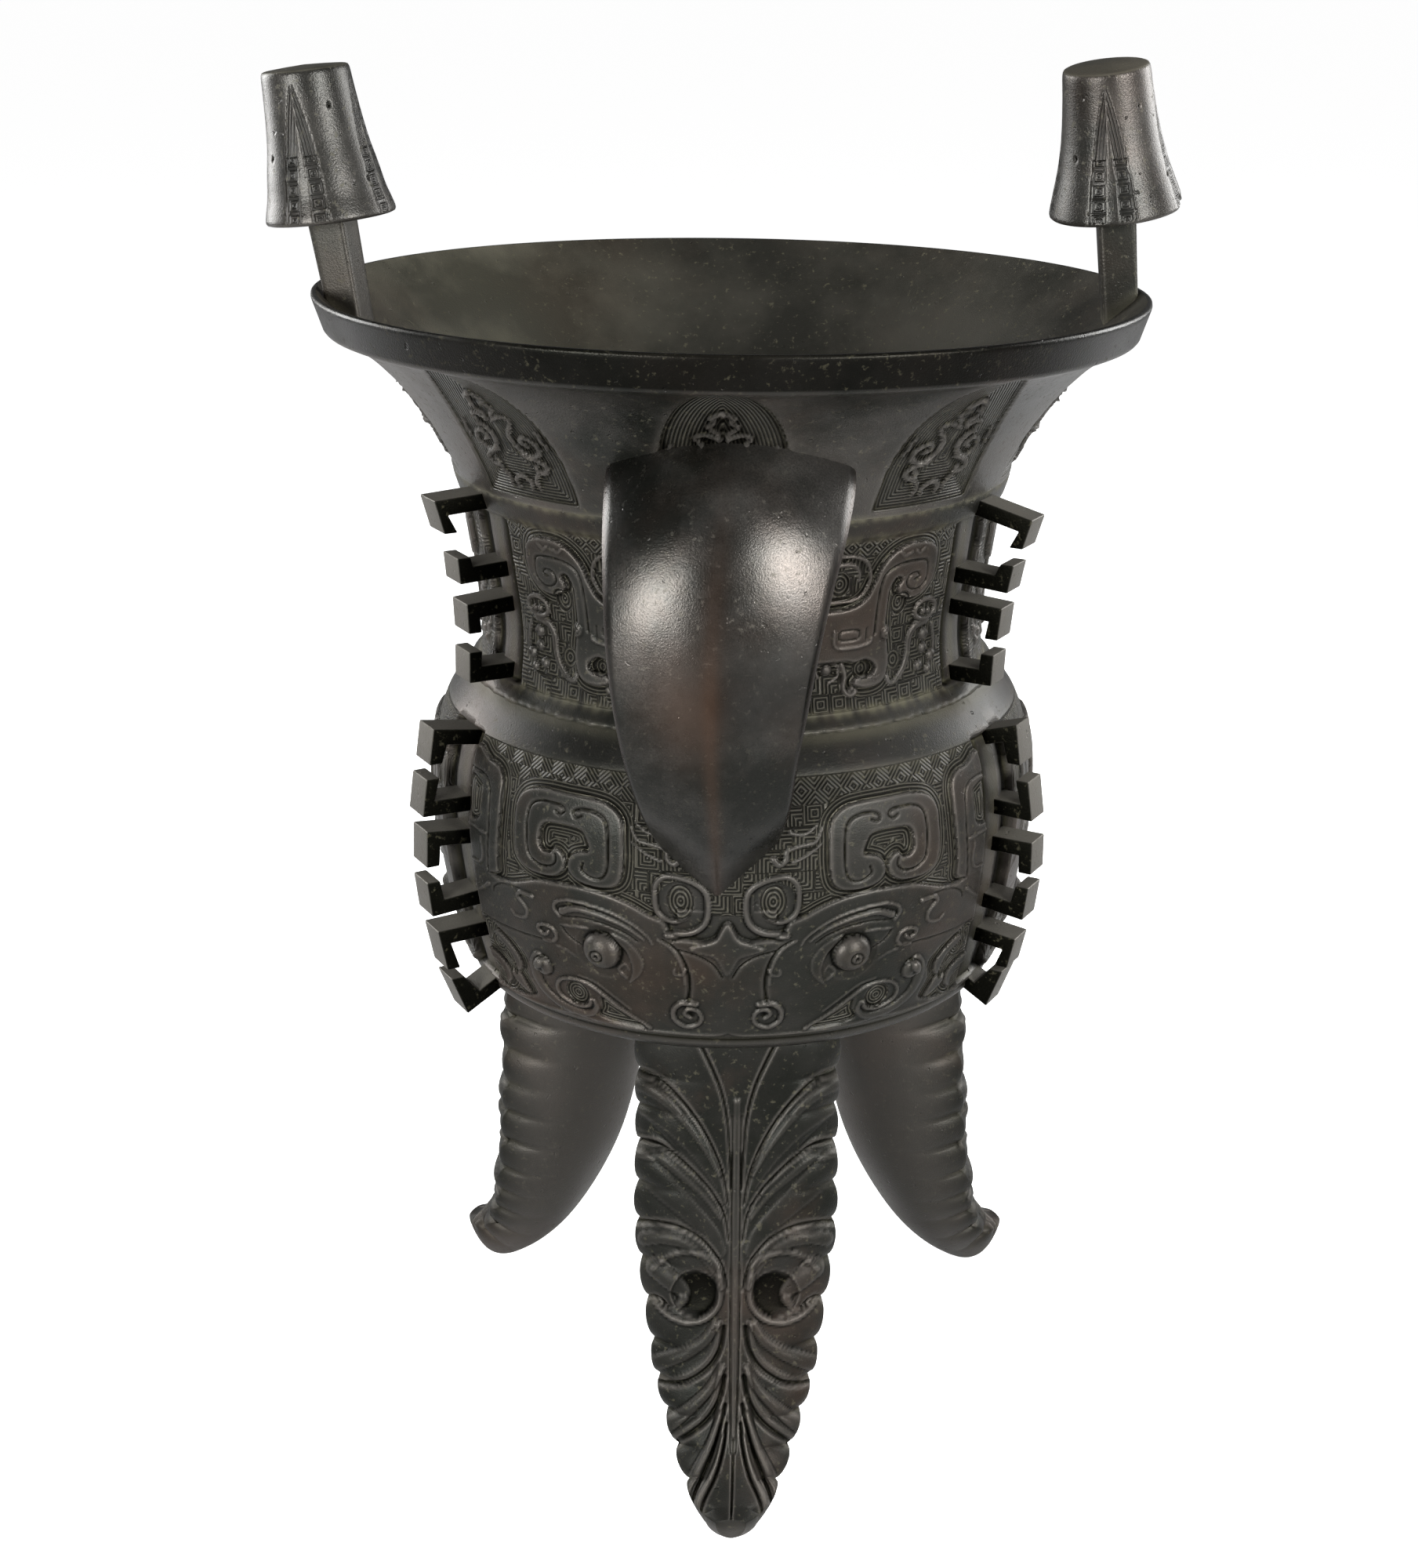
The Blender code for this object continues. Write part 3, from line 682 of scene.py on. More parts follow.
@dataclass(frozen=True)
class BronzeFinish:
    """Dark patina over bronze, with dust in its hollows and metal at its worn edges; it also paints
    shade into recesses and the valleys of the fine lines, and paints light onto lit edges and faces.
    """

    name: str
    dark: tuple[float, float, float] = (0.011, 0.0115, 0.0095)
    light: tuple[float, float, float] = (0.0225, 0.0212, 0.0188)
    tint: tuple[float, float, float] = (0.060, 0.036, 0.025)
    # near-black colour of painted shade in recesses and in the valleys of the fine lines, and of dark
    # grain
    deep: tuple[float, float, float] = (0.0030, 0.0030, 0.0022)
    # colour of dust, also laid on as painted light on a lit wall and on lit tops
    dust_and_light: tuple[float, float, float] = (0.110, 0.102, 0.066)
    # colour of worn metal, also laid on as painted light on lit edges and faces
    wear_and_light_colour: tuple[float, float, float] = (0.115, 0.105, 0.094)
    # paler colour of the fine lines' ridges: dust on them, and painted highlight where they catch the
    # light
    ground: tuple[float, float, float] = (0.046, 0.043, 0.033)
    roughness: float = 0.36
    rough_spread: float = 0.14
    metallic: float = 0.60
    specular: float = 0.16
    ridge_share: float = 0.8
    tint_share: float = 0.35
    # how strongly dust, and painted light laid on in the dust colour, show
    dust_and_light_share: float = 0.55
    # how strongly worn metal and painted light lighten the colour
    wear_and_light_share: float = 0.30
    # how strongly painted shade darkens the colour
    painted_shade_share: float = 0.95
    valley_share: float = 0.95
    grain_share: float = 0.0
    line_height: float = 0.6
    grit_height: float = 0.05
    pit_height: float = 0.25
    speck_share: float = 0.25
    noise_scale: float = 1.0

    def mix(
        self,
        tree: bpy.types.NodeTree,
        share: bpy.types.NodeSocket,
        under: bpy.types.NodeSocket | tuple[float, float, float],
        over: tuple[float, float, float],
    ) -> bpy.types.NodeSocket:
        """Lay one colour over another.

        Args:
            tree: the material's node tree.
            share: how much of the upper colour shows.
            under: the lower colour.
            over: the upper colour.

        Returns:
            The mixed colour.
        """
        node = tree.nodes.new("ShaderNodeMix")
        node.data_type = "RGBA"
        tree.links.new(share, node.inputs["Factor"])
        if isinstance(under, tuple):
            node.inputs[6].default_value = (*under, 1)
        else:
            tree.links.new(under, node.inputs[6])
        node.inputs[7].default_value = (*over, 1)
        return node.outputs[2]

    def attribute(self, tree: bpy.types.NodeTree, name: str) -> bpy.types.NodeSocket:
        """Read one of the mesh's masks."""
        node = tree.nodes.new("ShaderNodeAttribute")
        node.attribute_name = name
        return node.outputs["Fac"]

    def build(self) -> bpy.types.Material:
        """Build the material.

        Returns:
            The material with its nodes.
        """
        material = bpy.data.materials.new(self.name)
        material.use_nodes = True
        tree = material.node_tree
        shader = tree.nodes["Principled BSDF"]
        lines = tree.nodes.new("ShaderNodeGroup")
        lines.node_tree = shared_group("cast_lines", NodeGroups.cast_lines)
        lines.inputs["Pitch"].default_value = 1.3
        stains = tree.nodes.new("ShaderNodeGroup")
        stains.node_tree = shared_group("patina", NodeGroups.patina)
        stains.inputs["Scale"].default_value = self.noise_scale
        base = self.mix(tree, stains.outputs["Cloud"], self.dark, self.light)
        tinted = math_node(tree, "MULTIPLY", stains.outputs["Tint"], self.tint_share)
        base = self.mix(tree, tinted, base, self.tint)
        # painted shade: recesses and the valleys of the fine lines, together with dark grain, pull the
        # colour towards the near-black deep colour
        hollow = math_node(tree, "MULTIPLY", self.attribute(tree, "painted_shade"), self.painted_shade_share)
        valley = math_node(tree, "MULTIPLY", lines.outputs["Valley"], self.valley_share)
        hollow = math_node(tree, "MAXIMUM", hollow, valley)
        grain = math_node(tree, "MULTIPLY", stains.outputs["Grit"], self.grain_share)
        hollow = math_node(tree, "MAXIMUM", hollow, grain)
        base = self.mix(tree, hollow, base, self.deep)
        # the ridges of the fine lines take the paler ground colour: dust on them, and painted
        # highlight where they catch the light
        ridge_dust_and_light = math_node(tree, "MULTIPLY", lines.outputs["Ridge"], self.ridge_share)
        base = self.mix(tree, ridge_dust_and_light, base, self.ground)
        # real dust, and painted light where a piece lays the pale dust colour on a lit wall or top
        dust_and_light_amount = self.attribute(tree, "dust_and_light")
        broken = math_node(tree, "MULTIPLY_ADD", stains.outputs["Cloud"], 0.6, 0.45)
        dust_and_light_amount = math_node(tree, "MULTIPLY", dust_and_light_amount, broken)
        dust_and_light_amount = math_node(tree, "MULTIPLY", dust_and_light_amount, self.dust_and_light_share)
        specks = math_node(tree, "MULTIPLY", stains.outputs["Speck"], self.speck_share)
        dust_and_light_amount = math_node(tree, "MAXIMUM", dust_and_light_amount, specks)
        coloured = self.mix(tree, dust_and_light_amount, base, self.dust_and_light)
        # worn metal, and painted light on lit edges and faces, lighten the colour here
        worn_and_lit = math_node(tree, "MULTIPLY", self.attribute(tree, "wear_and_light"), self.wear_and_light_share)
        coloured = self.mix(tree, worn_and_lit, coloured, self.wear_and_light_colour)
        tree.links.new(coloured, shader.inputs["Base Color"])
        rough = math_node(
            tree, "MULTIPLY_ADD", stains.outputs["Cloud"], self.rough_spread, self.roughness
        )
        rough = math_node(tree, "MULTIPLY_ADD", dust_and_light_amount, 0.45, rough)
        rough = math_node(tree, "MULTIPLY_ADD", stains.outputs["Speck"], 0.12, rough)
        tree.links.new(rough, shader.inputs["Roughness"])
        covered = math_node(tree, "MAXIMUM", dust_and_light_amount, ridge_dust_and_light)
        metal = math_node(tree, "MULTIPLY_ADD", covered, -self.metallic, self.metallic)
        # where shade is painted the surface is also made fully metallic, so its near-black colour
        # darkens the reflection as well
        metal = math_node(tree, "MAXIMUM", metal, self.attribute(tree, "painted_shade"))
        tree.links.new(metal, shader.inputs["Metallic"])
        shader.inputs["Specular IOR Level"].default_value = self.specular
        relief = math_node(tree, "MULTIPLY", lines.outputs["Ridge"], self.line_height)
        relief = math_node(tree, "MULTIPLY_ADD", stains.outputs["Grit"], self.grit_height, relief)
        relief = math_node(tree, "MULTIPLY_ADD", stains.outputs["Pit"], -self.pit_height, relief)
        bump = tree.nodes.new("ShaderNodeBump")
        bump.inputs["Distance"].default_value = MM
        bump.inputs["Strength"].default_value = 1.0
        tree.links.new(relief, bump.inputs["Height"])
        tree.links.new(bump.outputs["Normal"], shader.inputs["Normal"])
        return material


def shared_group(name: str, build: Callable[[], bpy.types.NodeTree]) -> bpy.types.NodeTree:
    """Find a shader group by name, or build it the first time."""
    return bpy.data.node_groups.get(name) or build()


def hand_over(item: bpy.types.Object, material: bpy.types.Material) -> bpy.types.Object:
    """Dress a piece and join it to the vessel.

    Args:
        item: the piece.
        material: its finish.

    Returns:
        The same piece.
    """
    item.data.materials.clear()
    item.data.materials.append(material)
    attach(item, BODY)
    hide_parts(NODE)
    log.info("%s: %d faces", item.name, len(item.data.polygons))
    return item


@dataclass
class BodySector:
    """One third of the lower body, from the underside to the waist band, with its mask."""

    name: str
    middle: float
    column_step: float
    row_step: float
    finish: bpy.types.Material
    right_border: float = 52.6
    left_border: float = -55.6
    mirror_shift: float = -1.5
    mirror_scale: float = 1.02
    strip_drop: float = 2.2
    degree: float = 2.06
    profile: Line = (
        (0.0, 199.5),
        (104.0, 199.5),
        (109.6, 203.2),
        (111.4, 206.6),
        (111.6, 210.1),
        (114.8, 223.0),
        (117.6, 236.0),
        (120.6, 257.0),
        (122.0, 274.0),
        (121.9, 282.0),
        (121.3, 293.0),
        (118.4, 306.0),
        (115.0, 314.2),
        (110.6, 320.2),
        (105.6, 326.2),
        (103.0, 329.4),
    )

    def both(self, points: Line, side: int) -> list[tuple[float, float]]:
        """Keep a line for the right side of the mask, or mirror it to the left."""
        if side > 0:
            return list(points)
        return [(-x * self.mirror_scale + self.mirror_shift, y) for x, y in points]

    def draw_horn(self, relief: Relief, side: int) -> None:
        """Carve the horn: a rounded square that opens at its foot round a lined field."""
        outline = (
            (17.0, 289), (17.3, 297), (19.6, 301.6), (23, 303), (28, 303.2), (33, 303),
            (36.8, 301), (38.7, 296), (39.1, 288), (39.2, 280), (38.6, 274), (36.2, 270.8),
            (33, 270.1), (30.4, 271), (28.7, 273.6), (28.0, 277), (28.6, 280.6), (30.0, 282),
            (31.0, 279.9), (32.6, 280.2), (33.4, 283), (33.2, 288), (32.2, 291), (29.8, 291.8),
            (27.0, 291.8), (24.8, 291), (23.8, 288.4), (23.2, 283.8), (24.8, 282.8),
            (26.4, 281.2), (27.3, 278.4), (27.4, 275), (26.3, 272), (24.3, 270.4),
            (21.5, 270), (18.9, 271.2), (17.5, 274.4), (17.0, 281),
        )
        relief.raise_area(self.both(outline, side), 1.9, 0.7)
        inner = (
            (24.4, 278.6), (24.6, 275.8), (22.9, 273.6), (21.2, 273.8), (20.1, 276.4),
            (19.7, 281), (19.7, 290), (20.3, 296), (22.3, 298.5), (25.0, 298.7),
            (26.4, 297.2), (25.9, 295.4), (24.8, 296.2),
        )
        outer = (
            (30.0, 279.9), (29.9, 277.0), (31.0, 274.8), (33.2, 274.2), (35.4, 276.4),
            (36.1, 281), (36.1, 290), (35.3, 296.2), (33.0, 298.7), (29.4, 298.8),
            (28.2, 297.2), (28.9, 295.4), (30.0, 296.2),
        )
        for line in (inner, outer):
            relief.cut_line(self.both(line, side), 1.5, 0.9)

    def draw_ear(self, relief: Relief, side: int) -> None:
        """Carve the upright leaf beside the hooks and the little curled ear under it."""
        outline = (
            (53.4, 307), (47.6, 306.6), (44.6, 305.4), (43.2, 302), (42.9, 295), (43.2, 287),
            (43.7, 278), (44.2, 270), (44.4, 264.6), (46.5, 262.6), (50, 262.4), (53.4, 262.4),
        )
        relief.raise_area(self.both(outline, side), 1.6, 1.0)
        relief.cut_line(self.both(((47.3, 263), (46.8, 272), (46.2, 282), (46.0, 292),
                                   (46.5, 297.6), (48.2, 300.7), (53, 301.6)), side), 1.3, 0.8)
        field_edge = ((52.4, 298.2), (49.8, 298), (48.4, 296), (48.7, 290), (49.3, 283.6),
                      (52.4, 283.2))
        relief.sink_field(self.both(field_edge, side), 0.5)
        relief.raise_line(self.both(((47.0, 278.6), (49.5, 279), (52.6, 279.4)), side), 1.2, 0.5)
        relief.raise_line(self.both(((48.6, 276), (48.2, 270), (49.4, 265.4), (52.4, 265)), side),
                          1.2, 0.5)
        ear = ((35.8, 259.4), (38.4, 259.8), (39.6, 257.6), (38.4, 255.2), (37.5, 252.4),
               (38.2, 249.4), (40.6, 248.4), (41.8, 250.2))
        relief.raise_line(self.both(ear, side), 1.9, 0.9, 1.2)
        relief.cut_line(self.both(((38.8, 261), (43.2, 260.2), (46.0, 257.4), (46.6, 255)), side),
                        1.2, 0.6)
        relief.raise_line(self.both(((47.4, 257.6), (49.4, 254.6), (51.8, 251.6)), side), 2.0, 0.7,
                          0.8)

    def draw_brow(self, relief: Relief, side: int) -> None:
        """Carve the eye with its brow and the pointed hollows round it."""
        relief.dome(self.both(((21.9, 243.0),), side)[0], 11.0, -0.7)
        brow = ((30.0, 254.6), (31.0, 257.4), (30.3, 260.4), (27.6, 262.2), (23.6, 261.8),
                (19.6, 260.2), (16.0, 257), (13.2, 252.6), (12.3, 249.4))
        relief.raise_line(self.both(brow, side), 1.5, 0.9, 0.9)
        thick = ((29.3, 257.0), (26.6, 259.2), (23.2, 258.9), (19.6, 257.2), (16.4, 254.6),
                 (13.8, 250.8))
        relief.raise_line(self.both(thick, side), 3.0, 1.3, 0.9)
        relief.cut_line(self.both(((29.2, 254.6), (25.4, 255.8), (21, 255), (17.2, 252.6),
                                   (15, 249.6)), side), 1.3, 0.6)
        crescent = ((20.2, 252.2), (16.8, 249.6), (14.7, 245), (14.0, 240), (14.9, 235),
                    (17.3, 230.6), (16.5, 235.6), (16.5, 240), (17.3, 244.6), (18.8, 248.2))
        relief.raise_area(self.both(crescent, side), 2.0, 0.9)
        relief.raise_line(self.both(((17.6, 233.4), (19.0, 236.2), (17.7, 238.8),
                                     (16.9, 236.8)), side), 1.4, 0.5, 0.8)
        relief.raise_line(self.both(((24.4, 251.8), (27, 251.6), (29.8, 250.9)), side), 1.2, 0.6)
        relief.cut_line(self.both(((29.8, 250.6), (28.8, 247.2), (26.2, 243.8)), side), 1.6, 0.7,
                        0.7)
        relief.dome(self.both(((21.9, 243.6),), side)[0], 7.4, 5.6)
        pupil = curl((22.2, 242.9), 2.3, 2.3, 0, 1.0, 1 / self.degree)
        relief.cut_line(self.both(pupil, side), 1.5, 0.9)
        relief.dome(self.both(((22.2, 242.9),), side)[0], 1.1, -0.9)

    def draw_forehead(self, relief: Relief, side: int) -> None:
        """Carve the squared spiral beside the diamond and the small leaf above it."""
        band = ((9.6, 254.0), (5.6, 254.8), (3.2, 258.6), (2.5, 265), (3.0, 272), (5.6, 276.0),
                (9.4, 277.4), (11.4, 274), (11.7, 267), (11.0, 261.4), (8.6, 258.8),
                (6.4, 260.4))
        relief.dome(self.both(((7.0, 266.0),), side)[0], 9.5, -0.5)
        relief.raise_line(self.both(band, side), 2.7, 1.5, 1.8)
        relief.rings(self.both(((7.3, 267.0),), side)[0], 5.0, 1.5)
        leaf = ((7.2, 284.6), (8.2, 282.2), (9.4, 284.2), (9.6, 287.4), (12.0, 289), (14.6, 290.2),
                (15.8, 295.0))
        relief.raise_line(self.both(leaf, side), 2.6, 1.5, 1.0, False)
        relief.raise_line(self.both(((10.0, 294.2), (12.6, 293.2), (15.0, 296.4)), side), 1.6, 1.2,
                          0.8, False)
        relief.raise_line(self.both(((10.6, 283), (13.2, 285.4), (15.6, 289.2)), side), 1.4, 1.1,
                          0.8, False)

    def draw_face(self, relief: Relief, side: int) -> None:
        """Carve the smooth face with its nose line, nostril, jaw, discs and claws."""
        face = ((-0.9, 251), (3.2, 251.4), (7.6, 252.4), (9.8, 256), (10.4, 258.8), (13, 260.9),
                (16, 264.2), (20, 266.8), (25, 268), (30, 267.6), (34.4, 266.4), (38.4, 263.6),
                (41.6, 261.4), (44.6, 261), (48, 262.8), (54, 262.6), (54, 210.6),
                (30, 210.4), (-0.9, 210.4))
        relief.raise_area(self.both(face, side), 1.5, 1.2)
        relief.raise_line(self.both(face[3:15], side), 1.1, 0.4)
        relief.sink_field(self.both(((15.0, 211.6), (17.4, 215), (20.2, 218.4), (23.4, 221.6),
                                     (23.6, 217.4), (24.4, 213.4), (22, 211.8)), side), 0.7)
        relief.sink_field(self.both(((39.9, 213), (40.8, 222), (40.0, 229), (41.4, 233.4),
                                     (45, 236.9), (52.4, 239.2), (52.4, 211.6)), side), 0.5)
        nose = ((10.6, 251.4), (8.7, 248.9), (7.2, 244.6), (6.3, 239), (6.0, 233), (6.4, 225.6))
        relief.cut_line(self.both(nose, side), 1.2, 0.9, 2.6)
        relief.raise_line(self.both([(x + 0.75, y) for x, y in nose[:-1]], side), 1.1, 0.45)
        relief.raise_line(self.both(((6.6, 239.2), (7.4, 237.0), (8.6, 237.2), (8.6, 239.4)),
                                    side), 1.2, 0.7, 0.8)
        nostril = ((5.0, 224.4), (7.6, 224.4), (9.2, 221), (9.0, 216.4), (7.0, 213.6),
                   (4.9, 214.8), (4.1, 218), (4.8, 221.2), (6.4, 221.8), (7.2, 219.6),
                   (6.2, 217.6))
        relief.raise_line(self.both(nostril, side), 2.4, 1.3, 1.5)
        relief.dome(self.both(((5.9, 219.0),), side)[0], 1.6, -0.5)
        cheek = ((53, 241.2), (46, 240.9), (40, 241.3), (34.4, 241.9), (32.2, 242.6), (31.2, 245),
                 (31.8, 247.9), (33.6, 248.9), (35.2, 247.6), (35.0, 245.4), (33.8, 244.6),
                 (33.0, 246))
        relief.cut_line(self.both(cheek[:5], side), 1.3, 0.6)
        relief.raise_line(self.both(cheek[3:], side), 1.5, 0.9)
        relief.raise_line(self.both(((31.4, 241), (29.4, 240.2), (27.4, 238.4)), side), 1.1, 0.5,
                          0.7)
        jaw = ((36.4, 232.6), (37.8, 228.6), (37.6, 222.6), (35.9, 217.4), (32.6, 213.6),
               (28.8, 212.4), (26.0, 213.4), (24.6, 216.6), (24.9, 219.8))
        relief.raise_line(self.both(jaw, side), 6.6, 1.5, 1.6)
        relief.dome(self.both(((35.3, 230.0),), side)[0], 4.2, 2.2)
        ring = curl((35.3, 230.0), 4.4, 4.0, 120, -0.72, 1 / self.degree)
        relief.cut_line(self.both(ring, side), 1.1, 0.8)
        relief.dome(self.both(((35.6, 229.2),), side)[0], 1.2, -0.5)
        relief.rings(self.both(((28.4, 221.4),), side)[0], 5.4)
        lid = ((14, 211.4), (18.4, 216.8), (22.2, 222.6), (25.2, 226.6), (28.4, 227.9),
               (31.4, 226.4), (32.9, 222.8), (32.6, 218.8), (30.8, 216.4), (28.2, 215.6),
               (26.2, 217.0), (25.6, 219.8))
        relief.raise_line(self.both(lid, side), 1.6, 1.0)
        relief.raise_line(self.both([(x - 0.9, y + 2.0) for x, y in lid[1:5]], side), 1.1, 0.4)
        claw = ((48, 237.2), (44.6, 234.4), (42.2, 229.8), (41.8, 225.2), (43.4, 221.8),
                (43.9, 226.6), (45.2, 231), (48, 233.4))
        spur = ((43.5, 221.8), (41.9, 217.6), (41.0, 212.8), (43.2, 214.4), (45.5, 217.2),
                (45.7, 220.8), (44.3, 219.4))
        tip = ((52.4, 226), (48.6, 224.6), (46.6, 221), (46.4, 216), (48.2, 213), (48.4, 217.6),
               (50, 221), (52.4, 222))
        for shape in (claw, spur, tip):
            relief.raise_area(self.both(shape, side), 1.8, 0.8)
        relief.rings(self.both(((48.6, 230.4),), side)[0], 4.6, 0.8)

    def draw_diamond(self, relief: Relief) -> None:
        """Carve the hollow-sided diamond on the middle line."""
        middle = self.mirror_shift / 2
        points = []
        for corner in range(4):
            turn = math.pi * corner / 2
            for part in (0.0, 0.3, 0.5, 0.7):
                at = turn + part * math.pi / 2
                reach = 1 / (abs(math.cos(at)) + abs(math.sin(at)))
                reach *= 1 - 0.34 * math.sin(math.pi * part)
                points.append((middle + math.cos(at) * 6.6 * reach, 248.6 + math.sin(at) * 11 * reach))
        for side in BOTH_SIDES:
            arm = [(middle + 1.2 * side, 260), (middle + 3.0 * side, 255.2),
                   (middle + 5.6 * side, 252.8), (middle + 9.6 * side, 251.6)]
            relief.cut_line(arm, 1.3, 0.8)
            under = [(middle + 8.6 * side, 247.6), (middle + 5.0 * side, 245.4),
                     (middle + 2.4 * side, 241.6), (middle + 0.9 * side, 236.4)]
            relief.cut_line(under, 1.3, 0.8)
        relief.raise_area(points, 2.2, 0.9)
        relief.raise_line([*points, points[0]], 0.9, 0.35)

    def carve(self, angles: np.ndarray, heights: np.ndarray) -> Relief:
        """Carve the whole sector.

        Args:
            angles: angle of each column from the sector's middle.
            heights: height of each row.

        Returns:
            The carved height map.
        """
        relief = Relief(angles, heights, self.degree)
        relief.lay_ground(Ground.SQUARES, 8.6, 262.0, 304.0)
        relief.lay_ground(Ground.RHOMBS, 10.2, 303.6, 313.6)
        self.draw_sides(relief)
        self.draw_diamond(relief)
        sides = np.minimum(angles - self.left_border, self.right_border - angles) * self.degree
        panel = smoothstep(sides / 1.2)[None, :] * np.ones_like(relief.height)
        lower, upper = smoothstep((heights - 208.6) / 1.2), smoothstep((314.4 - heights) / 1.0)
        edge = (lower * upper)[:, None]
        relief.height = relief.height * panel * edge
        relief.height -= self.strip_drop * (1 - panel) * edge
        rough = np.exp(-(((sides + 2.6) / 2.1) ** 2))[None, :] * edge
        relief.height -= 1.2 * rough
        relief.height += 0.9 * np.exp(-(((heights - 209.2) / 1.1) ** 2))[:, None] * panel
        relief.height -= 0.7 * np.exp(-(((heights - 206.4) / 0.9) ** 2))[:, None]
        relief.ground *= panel * edge
        relief.dust_and_light += 0.45 * (1 - panel) * (1 - rough) * edge
        relief.dust_and_light += 0.3 * np.exp(-(((heights - 207.4) / 1.8) ** 2))[:, None]
        relief.dust_and_light += 0.55 * np.exp(-(((heights - 325.5) / 2.6) ** 2))[:, None]
        relief.dust_and_light += 0.3 * np.exp(-(((heights - 313.0) / 1.2) ** 2))[:, None]
        relief.shade += 0.42 * smoothstep((heights - 314.0) / 1.6)[:, None]
        relief.shade += 3.2 * rough
        return relief

    def draw_sides(self, relief: Relief) -> None:
        """Carve the two halves of the mask."""
        for side in BOTH_SIDES:
            self.draw_face(relief, side)
            self.draw_horn(relief, side)
            self.draw_ear(relief, side)
            self.draw_brow(relief, side)
            self.draw_forehead(relief, side)

    def build(self) -> bpy.types.Object:
        """Build the sector's mesh.

        Returns:
            The dressed piece.
        """
        outline = thinned(even_profile(self.profile[2:], self.row_step, 2), 206, 315, 3)
        floor = np.array([(0.02, 199.5), (40, 199.5), (80, 199.5), (100, 199.5), (104.4, 199.6),
                          (107.2, 201.2)])
        outline = np.vstack([floor, outline])
        dense = (self.left_border - 2.2, self.right_border + 2.2)
        angles = graded(-60, 60, self.column_step / self.degree, dense)
        relief = self.carve(angles, outline[:, 1])
        relief.height[:6] = 0
        slope = np.gradient(outline, axis=0)
        slope /= np.maximum(np.linalg.norm(slope, axis=1), 1e-9)[:, None]
        distance = outline[:, 0, None] + slope[:, 1, None] * relief.height
        height = outline[:, 1, None] - slope[:, 0, None] * relief.height
        points = settle(polar(angles[None, :] + self.middle, distance, height))
        item = grid_mesh(self.name, points, relief_masks(relief))
        return hand_over(item, self.finish)


